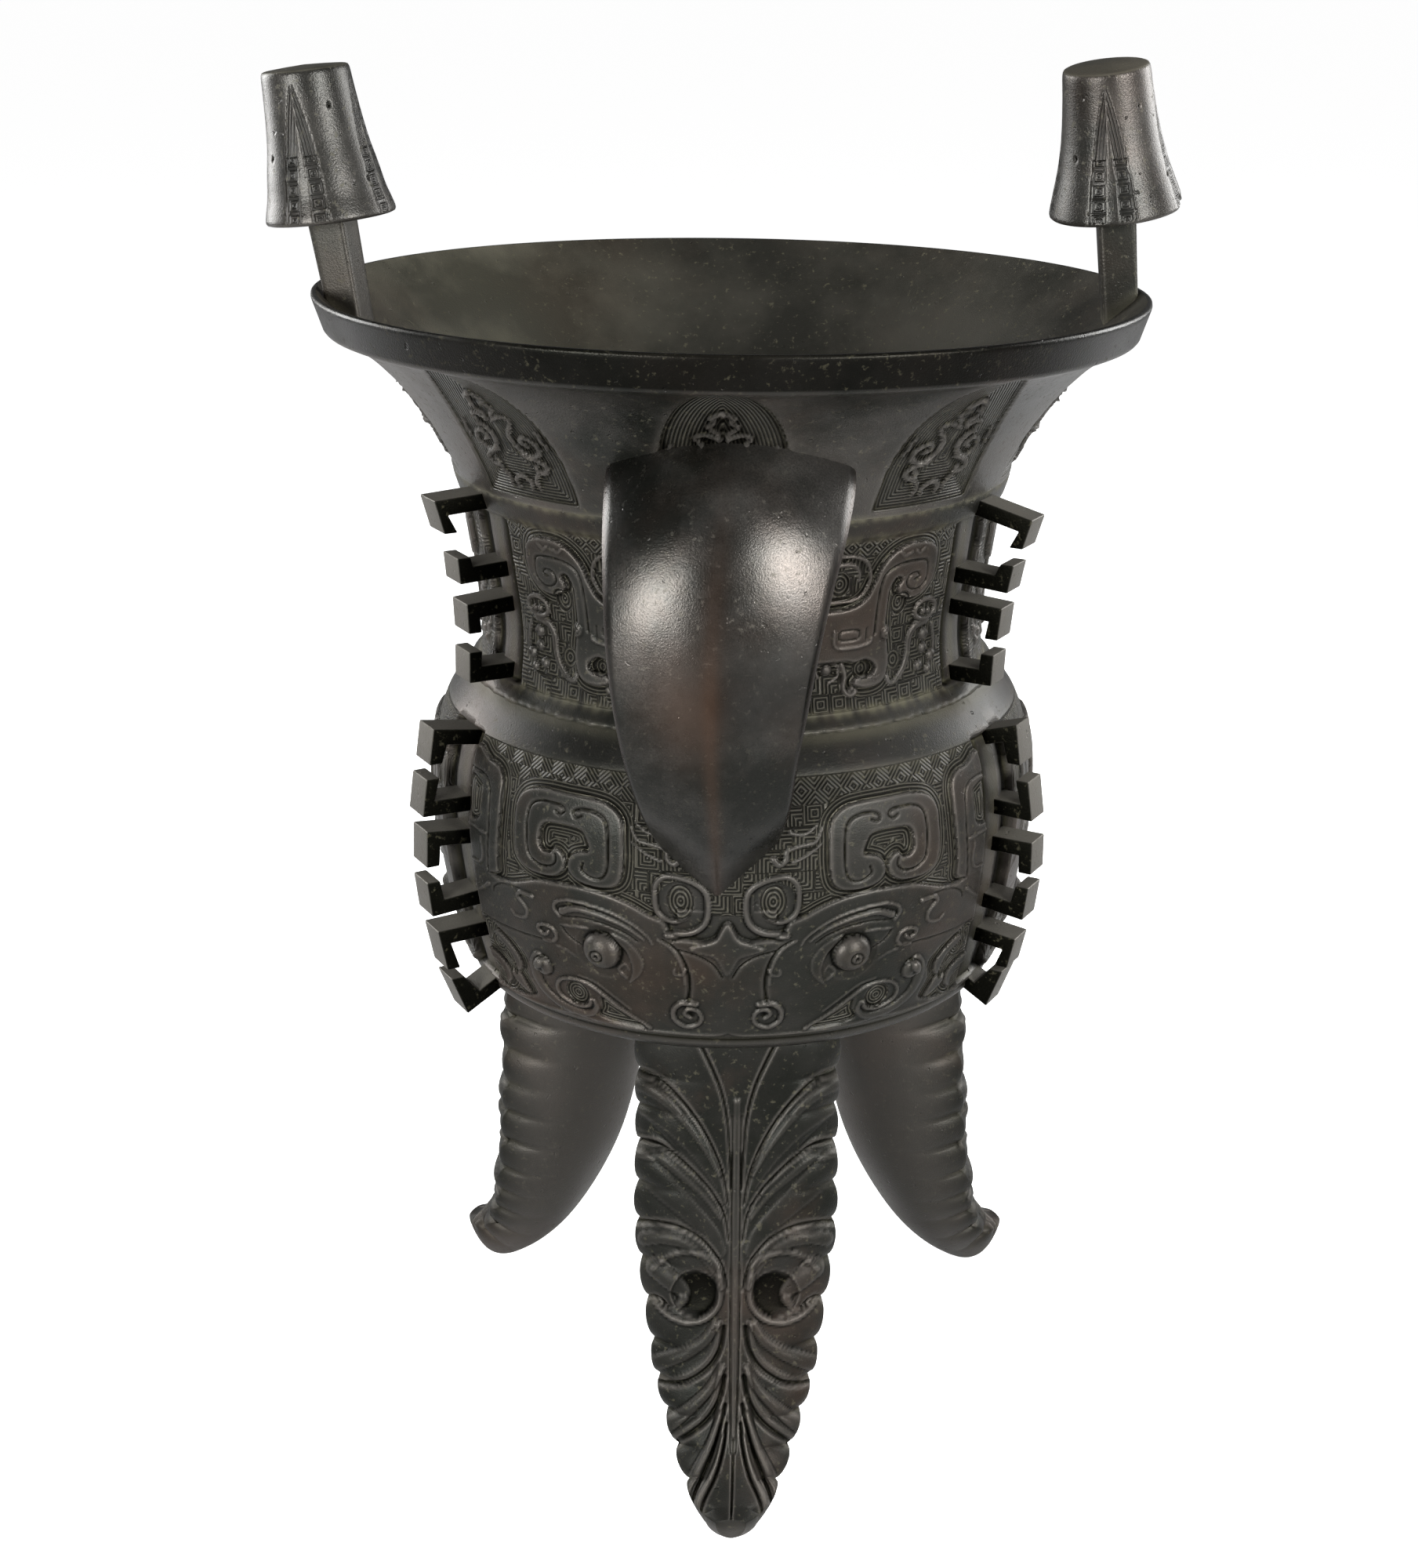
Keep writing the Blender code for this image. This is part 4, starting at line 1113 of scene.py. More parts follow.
@dataclass
class WaistSector:
    """One third of the waist, from its band to the ledge, with two facing dragons."""

    name: str
    middle: float
    column_step: float
    row_step: float
    finish: bpy.types.Material
    border: float = 53.2
    degree: float = 1.763
    profile: Line = (
        (104.0, 325.0),
        (106.0, 325.6),
        (105.9, 326.9),
        (103.2, 329.8),
        (101.4, 331.4),
        (100.6, 336.0),
        (99.4, 345.0),
        (99.2, 352.0),
        (99.9, 362.0),
        (101.8, 375.0),
        (103.6, 388.0),
        (104.2, 393.2),
        (105.2, 396.6),
        (107.4, 398.3),
        (108.4, 401.6),
        (109.4, 404.6),
        (109.3, 406.0),
        (109.6, 407.0),
    )

    def both(self, points: Line, side: int) -> list[tuple[float, float]]:
        """Keep a line for the right dragon, or mirror it to the left."""
        return [(x * side, y) for x, y in points]

    def draw_body(self, relief: Relief, side: int) -> None:
        """Carve the dragon's plain body with its curled head and tail."""
        trunk = ((8, 371), (18, 371), (24.6, 371.6), (28.0, 374.6), (29.8, 380), (31.2, 386),
                 (33.8, 390.8), (37.4, 393.6), (42.2, 393.4), (45.4, 390.6), (46.2, 385),
                 (45.8, 379), (43.8, 374.2), (40.4, 372.2), (37.4, 373.2), (35.8, 376.6),
                 (36.8, 380.2), (35.2, 381.4), (33.8, 377), (33.6, 368), (33.9, 361), (34.8, 352),
                 (34.6, 345.6), (33.0, 341), (29.4, 339.8), (26.2, 341.4), (26.8, 344.2),
                 (30.6, 344.6), (31.4, 348), (29.2, 350.8), (26.4, 350), (24, 351), (16, 351),
                 (8, 351))
        relief.raise_area(self.both(trunk, side), 2.1, 0.7)
        head = ((31.0, 360.6), (31.1, 372), (31.7, 381), (33.4, 385), (37.0, 386.8),
                (41.8, 386.6), (43.4, 384.6), (43.4, 378.4), (41.6, 375.6), (39.4, 375.8),
                (38.0, 378.2), (38.6, 381.4), (40.6, 382), (41.4, 380.2), (40.0, 379.4))
        relief.cut_line(self.both(head, side), 1.4, 0.8)
        relief.rings(self.both(((28.5, 347.0),), side)[0], 3.6)
        relief.raise_line(self.both(((35.4, 391.4), (36.4, 389.6), (38.4, 390.6)), side), 1.1, 0.5)
        relief.raise_line(self.both(((41.8, 391.4), (40.4, 389.6), (39.4, 391)), side), 1.1, 0.5)
        squared = ((21.4, 363.4), (21.5, 358.4), (22.8, 356.4), (26.4, 356.2), (29.6, 357.2),
                   (30.2, 359.2))
        relief.raise_line(self.both(squared, side), 1.1, 0.6)
        inner = ((26.6, 359.6), (24.4, 359.4), (22.7, 360), (22.8, 362.8), (25, 363.2),
                 (27.2, 362.6), (27.2, 360))
        relief.cut_line(self.both(inner, side), 1.2, 0.8)
        relief.cut_line(self.both(((28.9, 363.4), (29.0, 359)), side), 1.1, 0.7)

    def draw_limbs(self, relief: Relief, side: int) -> None:
        """Carve the bosses, curls and legs round the dragon's body."""
        relief.dome(self.both(((33.9, 360.2),), side)[0], 2.6, 1.4)
        relief.cut_line(self.both(curl((33.9, 360.2), 1.3, 1.3, 0, 1, 1 / self.degree), side),
                        0.9, 0.7)
        loop = curl((45.4, 365.6), 3.8, 3.8, 200, 1.0, 1.5 / self.degree)
        relief.raise_line(self.both(loop, side), 2.0, 1.3, None, False)
        for spot in ((45.0, 364.6), (46.6, 364.4)):
            relief.dome(self.both((spot,), side)[0], 1.4, 1.0)
        limb = ((45.8, 360.6), (42.8, 359.6), (41.2, 356), (40.9, 350), (39.8, 344.6),
                (37.4, 340.4), (35.6, 339.8), (35.0, 342.4))
        relief.raise_line(self.both(limb, side), 3.6, 1.5, 2.0, False)
        relief.cut_line(self.both(limb[1:6], side), 0.9, 0.5)
        relief.rings(self.both(((37.2, 348.0),), side)[0], 3.4, 1.2)
        relief.rings(self.both(((37.4, 370.6),), side)[0], 4.0, 1.3)
        for spot, radius in (((45.9, 355.4), 2.6), ((45.8, 350.0), 2.2), ((48.6, 346.2), 2.4),
                             ((44.2, 343.6), 2.2), ((47.2, 341.4), 1.8)):
            relief.dome(self.both((spot,), side)[0], radius, 1.5)
            relief.dome(self.both(((spot[0] + 0.4, spot[1] - 0.6),), side)[0], radius * 0.4, -0.6)
        relief.raise_line(self.both(((48.4, 359), (49.6, 352), (49.0, 346), (46.4, 342)), side),
                          1.6, 1.0, 1.0, False)
        relief.raise_line(self.both(((23.6, 349.6), (24.4, 345.4), (24.0, 340.6), (25.4, 337.6),
                                     (27.0, 338.8), (26.0, 340.6)), side), 2.4, 1.5, 1.4, False)
        relief.dome(self.both(((25.7, 339.4),), side)[0], 1.2, 0.8)
        relief.raise_line(self.both(((18.2, 345.6), (17.8, 349.4), (20.2, 351), (22.6, 349.6),
                                     (22.8, 345.4), (20.6, 343)), side), 1.6, 1.3, 1.0, False)
        relief.dome(self.both(((20.2, 348.2),), side)[0], 2.2, 1.4)
        wing = ((20, 391.6), (25.2, 391), (28.2, 388), (29.2, 382), (27.8, 376.6), (25.2, 374.2),
                (20, 374))
        relief.raise_line(self.both(wing, side), 1.4, 1.1, None, False)
        relief.raise_line(self.both(((20, 388.2), (24.6, 388), (26.4, 385), (26.6, 381.6)), side),
                          2.0, 1.3, 1.0, False)
        relief.rings(self.both(((22.4, 380.6),), side)[0], 4.2, 1.2)

    def carve(self, angles: np.ndarray, heights: np.ndarray) -> Relief:
        """Carve the whole sector.

        Args:
            angles: angle of each column from the sector's middle.
            heights: height of each row.

        Returns:
            The carved height map.
        """
        relief = Relief(angles, heights, self.degree)
        relief.lay_ground(Ground.SQUARES, 7.4, 331.6, 391.4)
        relief.lay_ground(Ground.RHOMBS, 6.6, 391.0, 397.6)
        for side in BOTH_SIDES:
            self.draw_body(relief, side)
            self.draw_limbs(relief, side)
        sides = (self.border - np.abs(angles)) * self.degree
        panel = smoothstep(sides / 1.2)[None, :] * np.ones_like(relief.height)
        lower, upper = smoothstep((heights - 331.6) / 1.2), smoothstep((397.0 - heights) / 2.0)
        edge = (lower * upper)[:, None]
        relief.height = relief.height * panel * edge - 1.9 * (1 - panel) * edge
        rough = np.exp(-(((sides + 2.6) / 2.1) ** 2))[None, :] * edge
        relief.height -= 1.2 * rough
        relief.ground *= panel * edge
        relief.dust_and_light += 0.4 * (1 - panel) * (1 - rough) * edge
        relief.shade += 3.2 * rough
        ragged = 1 + 0.45 * np.sin(angles * 0.83 + 1) + 0.4 * np.sin(angles * 2.3)
        for height, spread, amount in ((331.6, 1.6, 0.8), (325.4, 1.8, 0.8), (397.4, 1.6, 0.6),
                                       (406.4, 1.6, 1.0)):
            line = np.exp(-(((heights - height) / spread) ** 2))[:, None]
            relief.dust_and_light += amount * line * ragged[None, :]
        seam = np.exp(-(((heights - 326.4) / 0.8) ** 2))[:, None]
        relief.height += 0.5 * seam * (ragged[None, :] - 0.6)
        return relief

    def build(self) -> bpy.types.Object:
        """Build the sector's mesh.

        Returns:
            The dressed piece.
        """
        outline = thinned(even_profile(self.profile, self.row_step, 2), 330, 399, 2)
        dense = (-self.border - 2.4, self.border + 2.4)
        angles = graded(-60, 60, self.column_step / self.degree, dense)
        relief = self.carve(angles, outline[:, 1])
        slope = np.gradient(outline, axis=0)
        slope /= np.linalg.norm(slope, axis=1)[:, None]
        distance = outline[:, 0, None] + slope[:, 1, None] * relief.height
        height = outline[:, 1, None] - slope[:, 0, None] * relief.height
        points = settle(polar(angles[None, :] + self.middle, distance, height))
        item = grid_mesh(self.name, points, relief_masks(relief))
        return hand_over(item, self.finish)


@dataclass
class Neck:
    """Trumpet neck with nine pointed leaves standing on the ledge, and the lip's band."""

    finish: bpy.types.Material
    leaves: int = 9
    first_leaf: float = -1.2
    leaf_half: float = 12.0
    leaf_foot: float = 4.0
    leaf_top: float = 76.4
    band_foot: float = 76.0
    band_top: float = 88.4
    scroll_scale: float = 0.92
    degree: float = 2.06
    columns: int = 720
    row_step: float = 1.0
    profile: Line = (
        (109.0, 404.0),
        (109.4, 406.0),
        (110.2, 408.2),
        (112.6, 414.0),
        (119.4, 427.0),
        (129.4, 441.0),
        (140.0, 451.6),
        (148.4, 457.2),
        (154.2, 459.2),
        (155.9, 459.9),
        (156.4, 461.4),
        (158.0, 466.4),
        (159.6, 471.2),
        (159.9, 472.6),
        (159.2, 473.4),
        (157.8, 473.3),
    )

    def half_width(self, along: np.ndarray) -> np.ndarray:
        """Give a leaf's half width in degrees at lengths up from its foot."""
        share = np.clip(along / self.leaf_top, 0, 1)
        return self.leaf_half * (1 - share**2.4) ** 0.85

    def carve(self, angles: np.ndarray, along: np.ndarray, widths: np.ndarray) -> Relief:
        """Carve the leaves.

        Args:
            angles: angle of each column.
            along: length of each row up the neck's outline.
            widths: the neck's radius at each row.

        Returns:
            The carved height map.
        """
        relief = Relief(angles, along, self.degree)
        spacing = 360 / self.leaves
        local = np.mod(angles - self.first_leaf + spacing / 2, spacing) - spacing / 2
        milli = np.radians(1.0) * widths[:, None]
        room = (self.half_width(along)[:, None] - np.abs(local)[None, :]) * milli
        deep = np.minimum(room * 0.94, (along[:, None] - self.leaf_foot))
        deep = np.where(along[:, None] < self.band_foot - 1.2, deep, -1.0)
        inside = smoothstep(deep / 0.5)
        relief.height -= 0.75 * smoothstep(deep / 0.7 + 0.3)
        relief.lines = np.where(deep > 0, deep, 0)
        relief.ground = inside
        relief.dust_and_light += 0.35 * inside * (1 - smoothstep(deep / 2.5))
        for leaf in range(self.leaves):
            middle = self.first_leaf + spacing * leaf
            middle = np.mod(middle - angles[0], 360) + angles[0]
            self.draw_scrolls(relief, middle)
        relief.shade += 0.45 * inside * (1 - smoothstep((relief.height + 0.6) / 0.5))
        relief.shade += 0.5 * np.exp(-(((along - self.band_foot) / 0.8) ** 2))[:, None]
        relief.dust_and_light += 0.8 * np.exp(-(((along - 1.6) / 1.6) ** 2))[:, None]
        return relief

    def draw_scrolls(self, relief: Relief, middle: float) -> None:
        """Carve the mirrored scrolls and the three-pointed bud inside one leaf."""
        for side in BOTH_SIDES:
            for points, width in (
                (((0.0, 60.4), (1.6, 57.4), (1.2, 54.4), (2.2, 51.6), (0.9, 47.4), (0.5, 44.4)), 1.6),
                (((0.6, 44.4), (2.8, 46.8), (4.2, 44.6), (3.4, 41.4)), 1.7),
                (((3.4, 41.4), (2.0, 36.0), (2.6, 30.4), (5.0, 26.6), (7.2, 29.4), (6.8, 34.0),
                  (4.8, 36.6), (3.9, 33.4), (5.2, 31.6)), 1.9),
                (((3.0, 27.6), (5.6, 25.0), (7.4, 22.2), (6.2, 18.8), (4.6, 20.4), (5.4, 22.2)), 1.8),
                (((4.6, 18.0), (3.4, 14.0), (3.8, 10.4)), 1.6),
                (((0.4, 15.6), (2.0, 13.4), (1.6, 10.0)), 1.8),
                (((8.4, 40.4), (8.8, 35.4), (9.4, 31.0)), 1.1),
            ):
                placed = [(middle + x * side, y * self.scroll_scale) for x, y in points]
                relief.raise_line(placed, width, 1.3, width * 0.8)

    def build(self) -> bpy.types.Object:
        """Build the neck's mesh.

        Returns:
            The dressed piece.
        """
        outline = even_profile(self.profile, self.row_step, 2)
        along = np.concatenate([[0], np.cumsum(np.linalg.norm(np.diff(outline, axis=0), axis=1))])
        angles = np.arange(self.columns) * 360 / self.columns - 158
        relief = self.carve(angles, along, outline[:, 0])
        slope = np.gradient(outline, axis=0)
        slope /= np.linalg.norm(slope, axis=1)[:, None]
        distance = outline[:, 0, None] + slope[:, 1, None] * relief.height
        height = outline[:, 1, None] - slope[:, 0, None] * relief.height
        points = settle(polar(angles[None, :], distance, height))
        masks = relief_masks(relief)
        band = smoothstep((along - self.band_foot) / 0.8)
        # painted shade: the lip's outer band is darkened all round
        masks["painted_shade"] = np.maximum(masks["painted_shade"], 0.92 * band[:, None])
        masks["wear_and_light"] = masks["wear_and_light"] * (1 - band[:, None])
        top = smoothstep((along - self.band_top) / 1.2)[:, None]
        masks["dust_and_light"] = np.maximum(masks["dust_and_light"], 0.12 * top)
        item = grid_mesh("neck", points, masks, wrap=True)
        return hand_over(item, self.finish)


@dataclass
class Inside:
    """Hollow of the vessel, from the lip's slope down to its floor."""

    finish: bpy.types.Material
    columns: int = 120
    row_step: float = 4.0
    profile: Line = (
        (157.8, 473.3),
        (156.8, 472.4),
        (155.0, 470.4),
        (142.0, 459.0),
        (134.0, 452.0),
        (127.0, 444.6),
        (114.0, 430.0),
        (107.6, 417.0),
        (99.1, 400.2),
        (96.6, 376.0),
        (94.2, 352.0),
        (96.6, 329.7),
        (108.2, 311.0),
        (116.4, 297.0),
        (117.0, 273.0),
        (112.6, 238.0),
        (104.6, 212.5),
        (96.0, 204.5),
        (40.0, 204.5),
        (0.05, 204.5),
    )

    def build(self) -> bpy.types.Object:
        """Build the hollow's mesh.

        Returns:
            The dressed piece.
        """
        outline = even_profile(self.profile, self.row_step, 2)
        angles = np.arange(self.columns) * 360 / self.columns
        points = settle(polar(angles[None, :], outline[:, 0, None], outline[:, 1, None]))
        masks = plain_masks(points, 0.12)
        # painted light on the left of the far wall, laid on in the dust colour, and painted shade in
        # its middle
        masks["dust_and_light"] = masks["dust_and_light"] + 0.42 * np.exp(-(((angles - 232) / 26) ** 2))[None, :]
        masks["painted_shade"] = masks["painted_shade"] + 0.3 * np.exp(-(((angles - 184) / 24) ** 2))[None, :]
        item = grid_mesh("inside", points, masks, wrap=True)
        return hand_over(item, self.finish)


@dataclass
class Handle:
    """Keeled strap handle that loops from the neck down to the mask's forehead."""

    finish: bpy.types.Material
    thickness: float = 6.4
    along_steps: int = 130
    across_steps: int = 60
    rows: Sequence[tuple[float, ...]] = (
        (122.0, 441.0, 110.0, 428.0, 43.2, 0.0),
        (134.0, 433.0, 121.0, 421.5, 43.2, -0.6),
        (146.0, 419.0, 135.0, 408.0, 41.6, -2.4),
        (153.5, 401.0, 144.0, 391.0, 39.0, -4.6),
        (157.5, 379.0, 148.5, 371.0, 36.4, -6.4),
        (157.5, 355.0, 149.0, 349.0, 33.4, -7.2),
        (153.5, 331.0, 145.0, 328.5, 30.2, -7.2),
        (146.0, 309.0, 138.0, 311.0, 27.4, -6.2),
        (135.5, 289.0, 129.0, 299.0, 24.8, -5.6),
        (118.5, 266.0, 116.0, 288.0, 22.0, -5.2),
    )

    def section(self, line: np.ndarray, place: int) -> np.ndarray:
        """Give one ring of the strap.

        Args:
            line: the smoothed rows.
            place: which row.

        Returns:
            The ring's points.
        """
        keel_r, keel_z, edge_r, edge_z, half, shift = line[place]
        run = line[min(place + 1, len(line) - 1)] - line[max(place - 1, 0)]
        along = np.array([run[0], run[1]]) / math.hypot(run[0], run[1])
        share = place / (len(line) - 1)
        power = 1.9 - 0.75 * float(smoothstep(np.array((share - 0.35) / 0.5)))
        across = np.sin(np.linspace(-math.pi / 2, math.pi / 2, self.across_steps))
        crown = np.abs(across) ** power
        round_edge = 1.6 * np.clip((np.abs(across) - 0.93) / 0.07, 0, 1) ** 2
        depth = np.concatenate([round_edge, (self.thickness - round_edge)[::-1]])
        across = np.concatenate([across, across[::-1] * 0.985])
        crown = np.concatenate([crown, crown[::-1]])
        distance = keel_r + (edge_r - keel_r) * crown + along[1] * depth
        height = keel_z + (edge_z - keel_z) * crown - along[0] * depth
        return polar(np.zeros_like(distance), distance, height, across * half + shift)

    def build(self) -> bpy.types.Object:
        """Build the handle's mesh.

        Returns:
            The dressed piece.
        """
        places = np.linspace(0, len(self.rows) - 1, self.along_steps)
        line = flowing(self.rows, 24)
        line = np.stack([np.interp(places, np.linspace(0, len(self.rows) - 1, len(line)),
                                   line[:, column]) for column in range(6)], 1)
        points = np.stack([self.section(line, place) for place in range(len(line))])
        masks = plain_masks(points)
        across = np.sin(np.linspace(-math.pi / 2, math.pi / 2, self.across_steps))
        across = np.concatenate([across, across[::-1]])
        share = np.linspace(0, 1, len(line))[:, None]
        ridge = np.exp(-((across / 0.09) ** 2))[None, :] * smoothstep((share - 0.1) / 0.4)
        edges = smoothstep((np.abs(across) - 0.95) / 0.05)[None, :] * 0.5
        patch = np.exp(-(((share - 0.57) / 0.09) ** 2)) * np.exp(
            -(((across + 0.25) / 0.35) ** 2))[None, :]
        # painted shade: a dark band across the strap below its highlights, dipping towards the keel
        shade_band = share - 0.51 - 0.05 * (1 - np.abs(across))[None, :]
        shade_band = np.exp(-((shade_band / 0.09) ** 2)) * smoothstep(across + 0.9)[None, :]
        masks["wear_and_light"] = np.clip(ridge * 0.34 + edges * 0.4 + patch * 0.42, 0, 1)
        # painted shade: darker down the middle of the upper strap, and in the dark band
        masks["painted_shade"] = np.exp(-((across / 0.22) ** 2))[None, :] * 0.25 * (
            1 - smoothstep((share - 0.55) / 0.2)) + 0.6 * shade_band
        # painted shade on the rounded side edges, which dims their highlights
        rim = smoothstep((np.abs(across) - 0.93) / 0.04)[None, :]
        masks["painted_shade"] = np.clip(masks["painted_shade"] + 0.85 * rim, 0, 1)
        masks["dust_and_light"] = np.exp(-((share / 0.02) ** 2)) * np.ones_like(masks["dust_and_light"])
        item = grid_mesh("handle", settle(points), masks, wrap=True, close_ends=True)
        return hand_over(item, self.finish)


@dataclass
class Leg:
    """One leg: an acanthus leaf on its face, scalloped edges and a rounded back."""

    name: str
    angle: float
    cast_off: float
    along_steps: int
    face_steps: int
    finish: bpy.types.Material
    back_steps: int = 60
    lobe_depth: float = 3.2
    edge_drop: float = 0.38
    notches: Sequence[float] = (
        206, 191, 177, 161, 144, 127, 110.5, 93.5, 76.5, 62, 50, 38.5, 29.5, 21, 15,
    )
    rows: Sequence[tuple[float, ...]] = (
        (105.5, 203.0, 47.0, 203.0, 40.6, 14.5),
        (106.5, 178.0, 49.5, 172.0, 40.0, 14.5),
        (108.0, 150.0, 54.0, 141.0, 40.2, 14.0),
        (110.5, 118.0, 60.5, 112.0, 40.4, 14.0),
        (115.0, 86.0, 69.0, 80.0, 36.4, 12.5),
        (121.0, 58.0, 82.0, 52.0, 32.0, 11.5),
        (128.5, 38.0, 98.0, 27.0, 25.4, 9.5),
        (137.0, 26.5, 116.0, 9.0, 19.6, 7.0),
        (145.0, 20.0, 134.0, -0.9, 13.4, 4.0),
        (151.0, 17.6, 148.5, 7.0, 6.0, 1.6),
    )

    def notch(self, heights: np.ndarray) -> np.ndarray:
        """Give the depth of the scalloped edge at heights on the face, from 0 to 1."""
        marks = np.array(self.notches[::-1], float)
        place = np.clip(np.searchsorted(marks, heights) - 1, 0, len(marks) - 2)
        share = (heights - marks[place]) / (marks[place + 1] - marks[place])
        return 1 - np.sqrt(np.clip(1 - (2 * np.clip(share, 0, 1) - 1) ** 2, 0, 1))

    def carve(self, relief: Relief) -> None:
        """Carve the leaf: its rib, its veins, the two volutes and the lower lobes."""
        for side in BOTH_SIDES:
            def lay(points: Line, side: int = side) -> list[tuple[float, float]]:
                """Put a line on one side of the rib."""
                return [(x * side, y) for x, y in points]

            hollows = (
                (((12, 200), (8, 188), (5, 176), (3, 160)), 0.0, 0.0),
                (((38, 182), (29, 173), (19, 160), (11, 147), (6, 137)), 15.0, 2.0),
                (((39, 152), (29, 142), (19, 132), (10, 122), (6, 114)), 13.0, 1.9),
                (((39, 170), (28, 163), (17, 152), (9, 141)), 6.0, -0.7),
            )
            for points, width, rise in hollows:
                if width:
                    relief.raise_line(lay(points), width, rise, width * 0.4)
            veins = (
                ((15.5, 204), (10.4, 193), (6.2, 182), (3.7, 170), (2.6, 155), (2.1, 140)),
                ((41, 190.8), (31, 187), (22.4, 179), (14.4, 168), (8.4, 156), (5.0, 146),
                 (3.0, 134)),
                ((42, 161.8), (31.4, 160), (22.6, 153.6), (13.6, 144.6), (7.4, 136), (4.2, 128),
                 (2.6, 118)),
                ((41, 125.0), (31, 125.6), (22.4, 124), (14.4, 119.6), (8.4, 113.4), (5, 107),
                 (3, 98)),
            )
            for points in veins:
                relief.cut_line(lay(points), 3.2, 1.6, 1.2)
                above = [(x - 0.4, y + 1.9) for x, y in points[:-1]]
                relief.raise_line(lay(above), 2.0, 0.6, 0.8)
            relief.raise_line(lay(((40, 186), (30, 180.6), (21, 171), (12, 158), (6.6, 147))), 5.0,
                              1.1, 1.4)
            relief.raise_line(lay(((41, 157), (31, 154.4), (21, 146), (12, 137), (6, 128))), 4.6,
                              1.1, 1.2)
            relief.raise_line(lay(((36, 119), (27, 119.4), (18, 116), (10.6, 109), (6.6, 101))),
                              6.4, 1.6, 1.6)
            relief.dome(lay(((16.0, 96.0),))[0], 9.6, -3.4)
            relief.darken(lay(((15.0, 96.0),))[0], 9.4, 0.9)
            volute = ((5.0, 100), (6.6, 107), (11.6, 112.2), (19, 113.6), (27, 111.6), (33, 106.6))
            relief.raise_line(lay(volute), 3.0, 1.2, 2.0)
            hook = ((6.4, 104.6), (5.8, 97.4), (7.2, 90.8), (11.8, 85.8), (18.2, 84.2),
                    (24.6, 85.8), (29.8, 89.4), (33.6, 93.6))
            relief.raise_line(lay(hook), 3.2, 2.0, 2.2)
            tongue = ((31, 107), (26.6, 102.4), (22.6, 98.4), (20.2, 94.4), (22.0, 91.0))
            relief.raise_line(lay(tongue), 9.6, 2.6, 3.4)
            relief.dome(lay(((21.2, 92.6),))[0], 3.0, 1.2)
            relief.cut_line(lay(((37.0, 91.4), (32.8, 94.2), (28.8, 92.6), (26.6, 89.6))), 2.4,
                            2.2, 1.4)
            lower = (
                (((4.4, 82), (5.8, 73), (9.8, 66), (16.6, 60.8), (24, 58.6), (31, 59.4)), 3.6),
                (((4.0, 62), (5.8, 53), (10, 46), (16, 41.4), (22.6, 38.8), (27.6, 39.8)), 3.4),
                (((3.4, 51), (5.4, 42.6), (8, 34.6), (12, 28), (17, 22)), 2.6),
                (((2.8, 44), (4.2, 34), (7.2, 26.4), (13, 20.4)), 2.2),
            )
            for points, width in lower:
                relief.cut_line(lay(points), width, 1.9, width * 0.8)
                beside = [(x + 1.4, y + 2.2) for x, y in points]
                relief.raise_line(lay(beside), 2.6, 0.8, 2.6)
            crests = (
                (((7.4, 84), (12, 77), (19, 72), (27, 68.6), (35, 66)), 7.4, 1.9),
                (((5.0, 66), (10, 57.4), (16.6, 50.8), (23, 46.2), (30, 43)), 6.4, 1.9),
                (((5.2, 48), (8.6, 39), (13, 31.6), (17.6, 27), (21.6, 24.4)), 4.6, 1.6),
                (((4.0, 40), (6.6, 31), (10.4, 25), (14.8, 21.4)), 2.6, 1.1),
            )
            for points, width, rise in crests:
                relief.raise_line(lay(points), width * 0.5, rise, width)
            relief.cut_line(lay(((1.75, 172), (1.75, 120), (1.8, 60), (0.9, 34))), 1.1, 1.1)
        relief.raise_line(((0, 178), (0, 120), (0, 60), (0, 40)), 3.0, 1.2, 1.6)
        relief.cut_line(((0, 38), (0, 26), (0, 15)), 1.6, 1.3)

    def build(self) -> bpy.types.Object:
        """Build the leg's mesh.

        Returns:
            The dressed piece.
        """
        line = flowing(self.rows, 30)
        places = (len(line) - 1) * np.linspace(0, 1, self.along_steps)
        line = np.stack([np.interp(places, np.arange(len(line)), line[:, column])
                         for column in range(6)], 1)
        face_r, face_z, back_r, back_z, half, sweep = line.T
        share = np.linspace(0, 1, len(line))
        depth = np.hypot(face_r - back_r, face_z - back_z)
        out = np.stack([(face_r - back_r) / depth, (face_z - back_z) / depth], 1)
        notch = self.notch(face_z + self.edge_drop * sweep) * self.lobe_depth
        notch = notch * np.minimum(1.0, half / 20)
        across = np.linspace(-1, 1, self.face_steps)
        across = 1.25 * across - 0.25 * across**3
        heights = np.linspace(12, 212, 460)
        widths = np.linspace(-46, 46, 300)
        carving = Relief(widths, heights, 1.0)
        self.carve(carving)
        side = across[None, :] * (half - notch)[:, None]
        swept = (1 - np.sqrt(np.clip(1 - 0.92 * across**2, 0, 1))) / 0.717
        swept = np.concatenate([swept, np.ones(self.back_steps - 1)])
        pattern_z = face_z[:, None] + self.edge_drop * sweep[:, None] * swept[None, :]
        rib = lookup(carving, carving.height, side, pattern_z[:, :self.face_steps])
        fade = smoothstep(share * 40) * smoothstep((1 - share) * 12)
        level = depth[:, None] - sweep[:, None] * (
            1 - np.sqrt(np.clip(1 - 0.92 * across**2, 0, 1))[None, :]) / 0.717
        flute = notch[:, None] * smoothstep((np.abs(across) - 0.55) / 0.45)[None, :] * 0.8
        level = level + rib * fade[:, None] - flute
        turn = np.pi * np.arange(1, self.back_steps) / self.back_steps
        near = np.clip(1 - np.sin(turn) / 0.62, 0, 1) ** 1.3
        wedge = np.clip(1 - np.sin(turn) / 0.85, 0, 1) ** 0.8 * np.sin(turn) ** 0.5 * 1.6
        uneven = 0.75 + 0.45 * np.sin(face_z / 9.0 + self.angle)
        wedge = near[None, :] + wedge[None, :] * uneven[:, None]
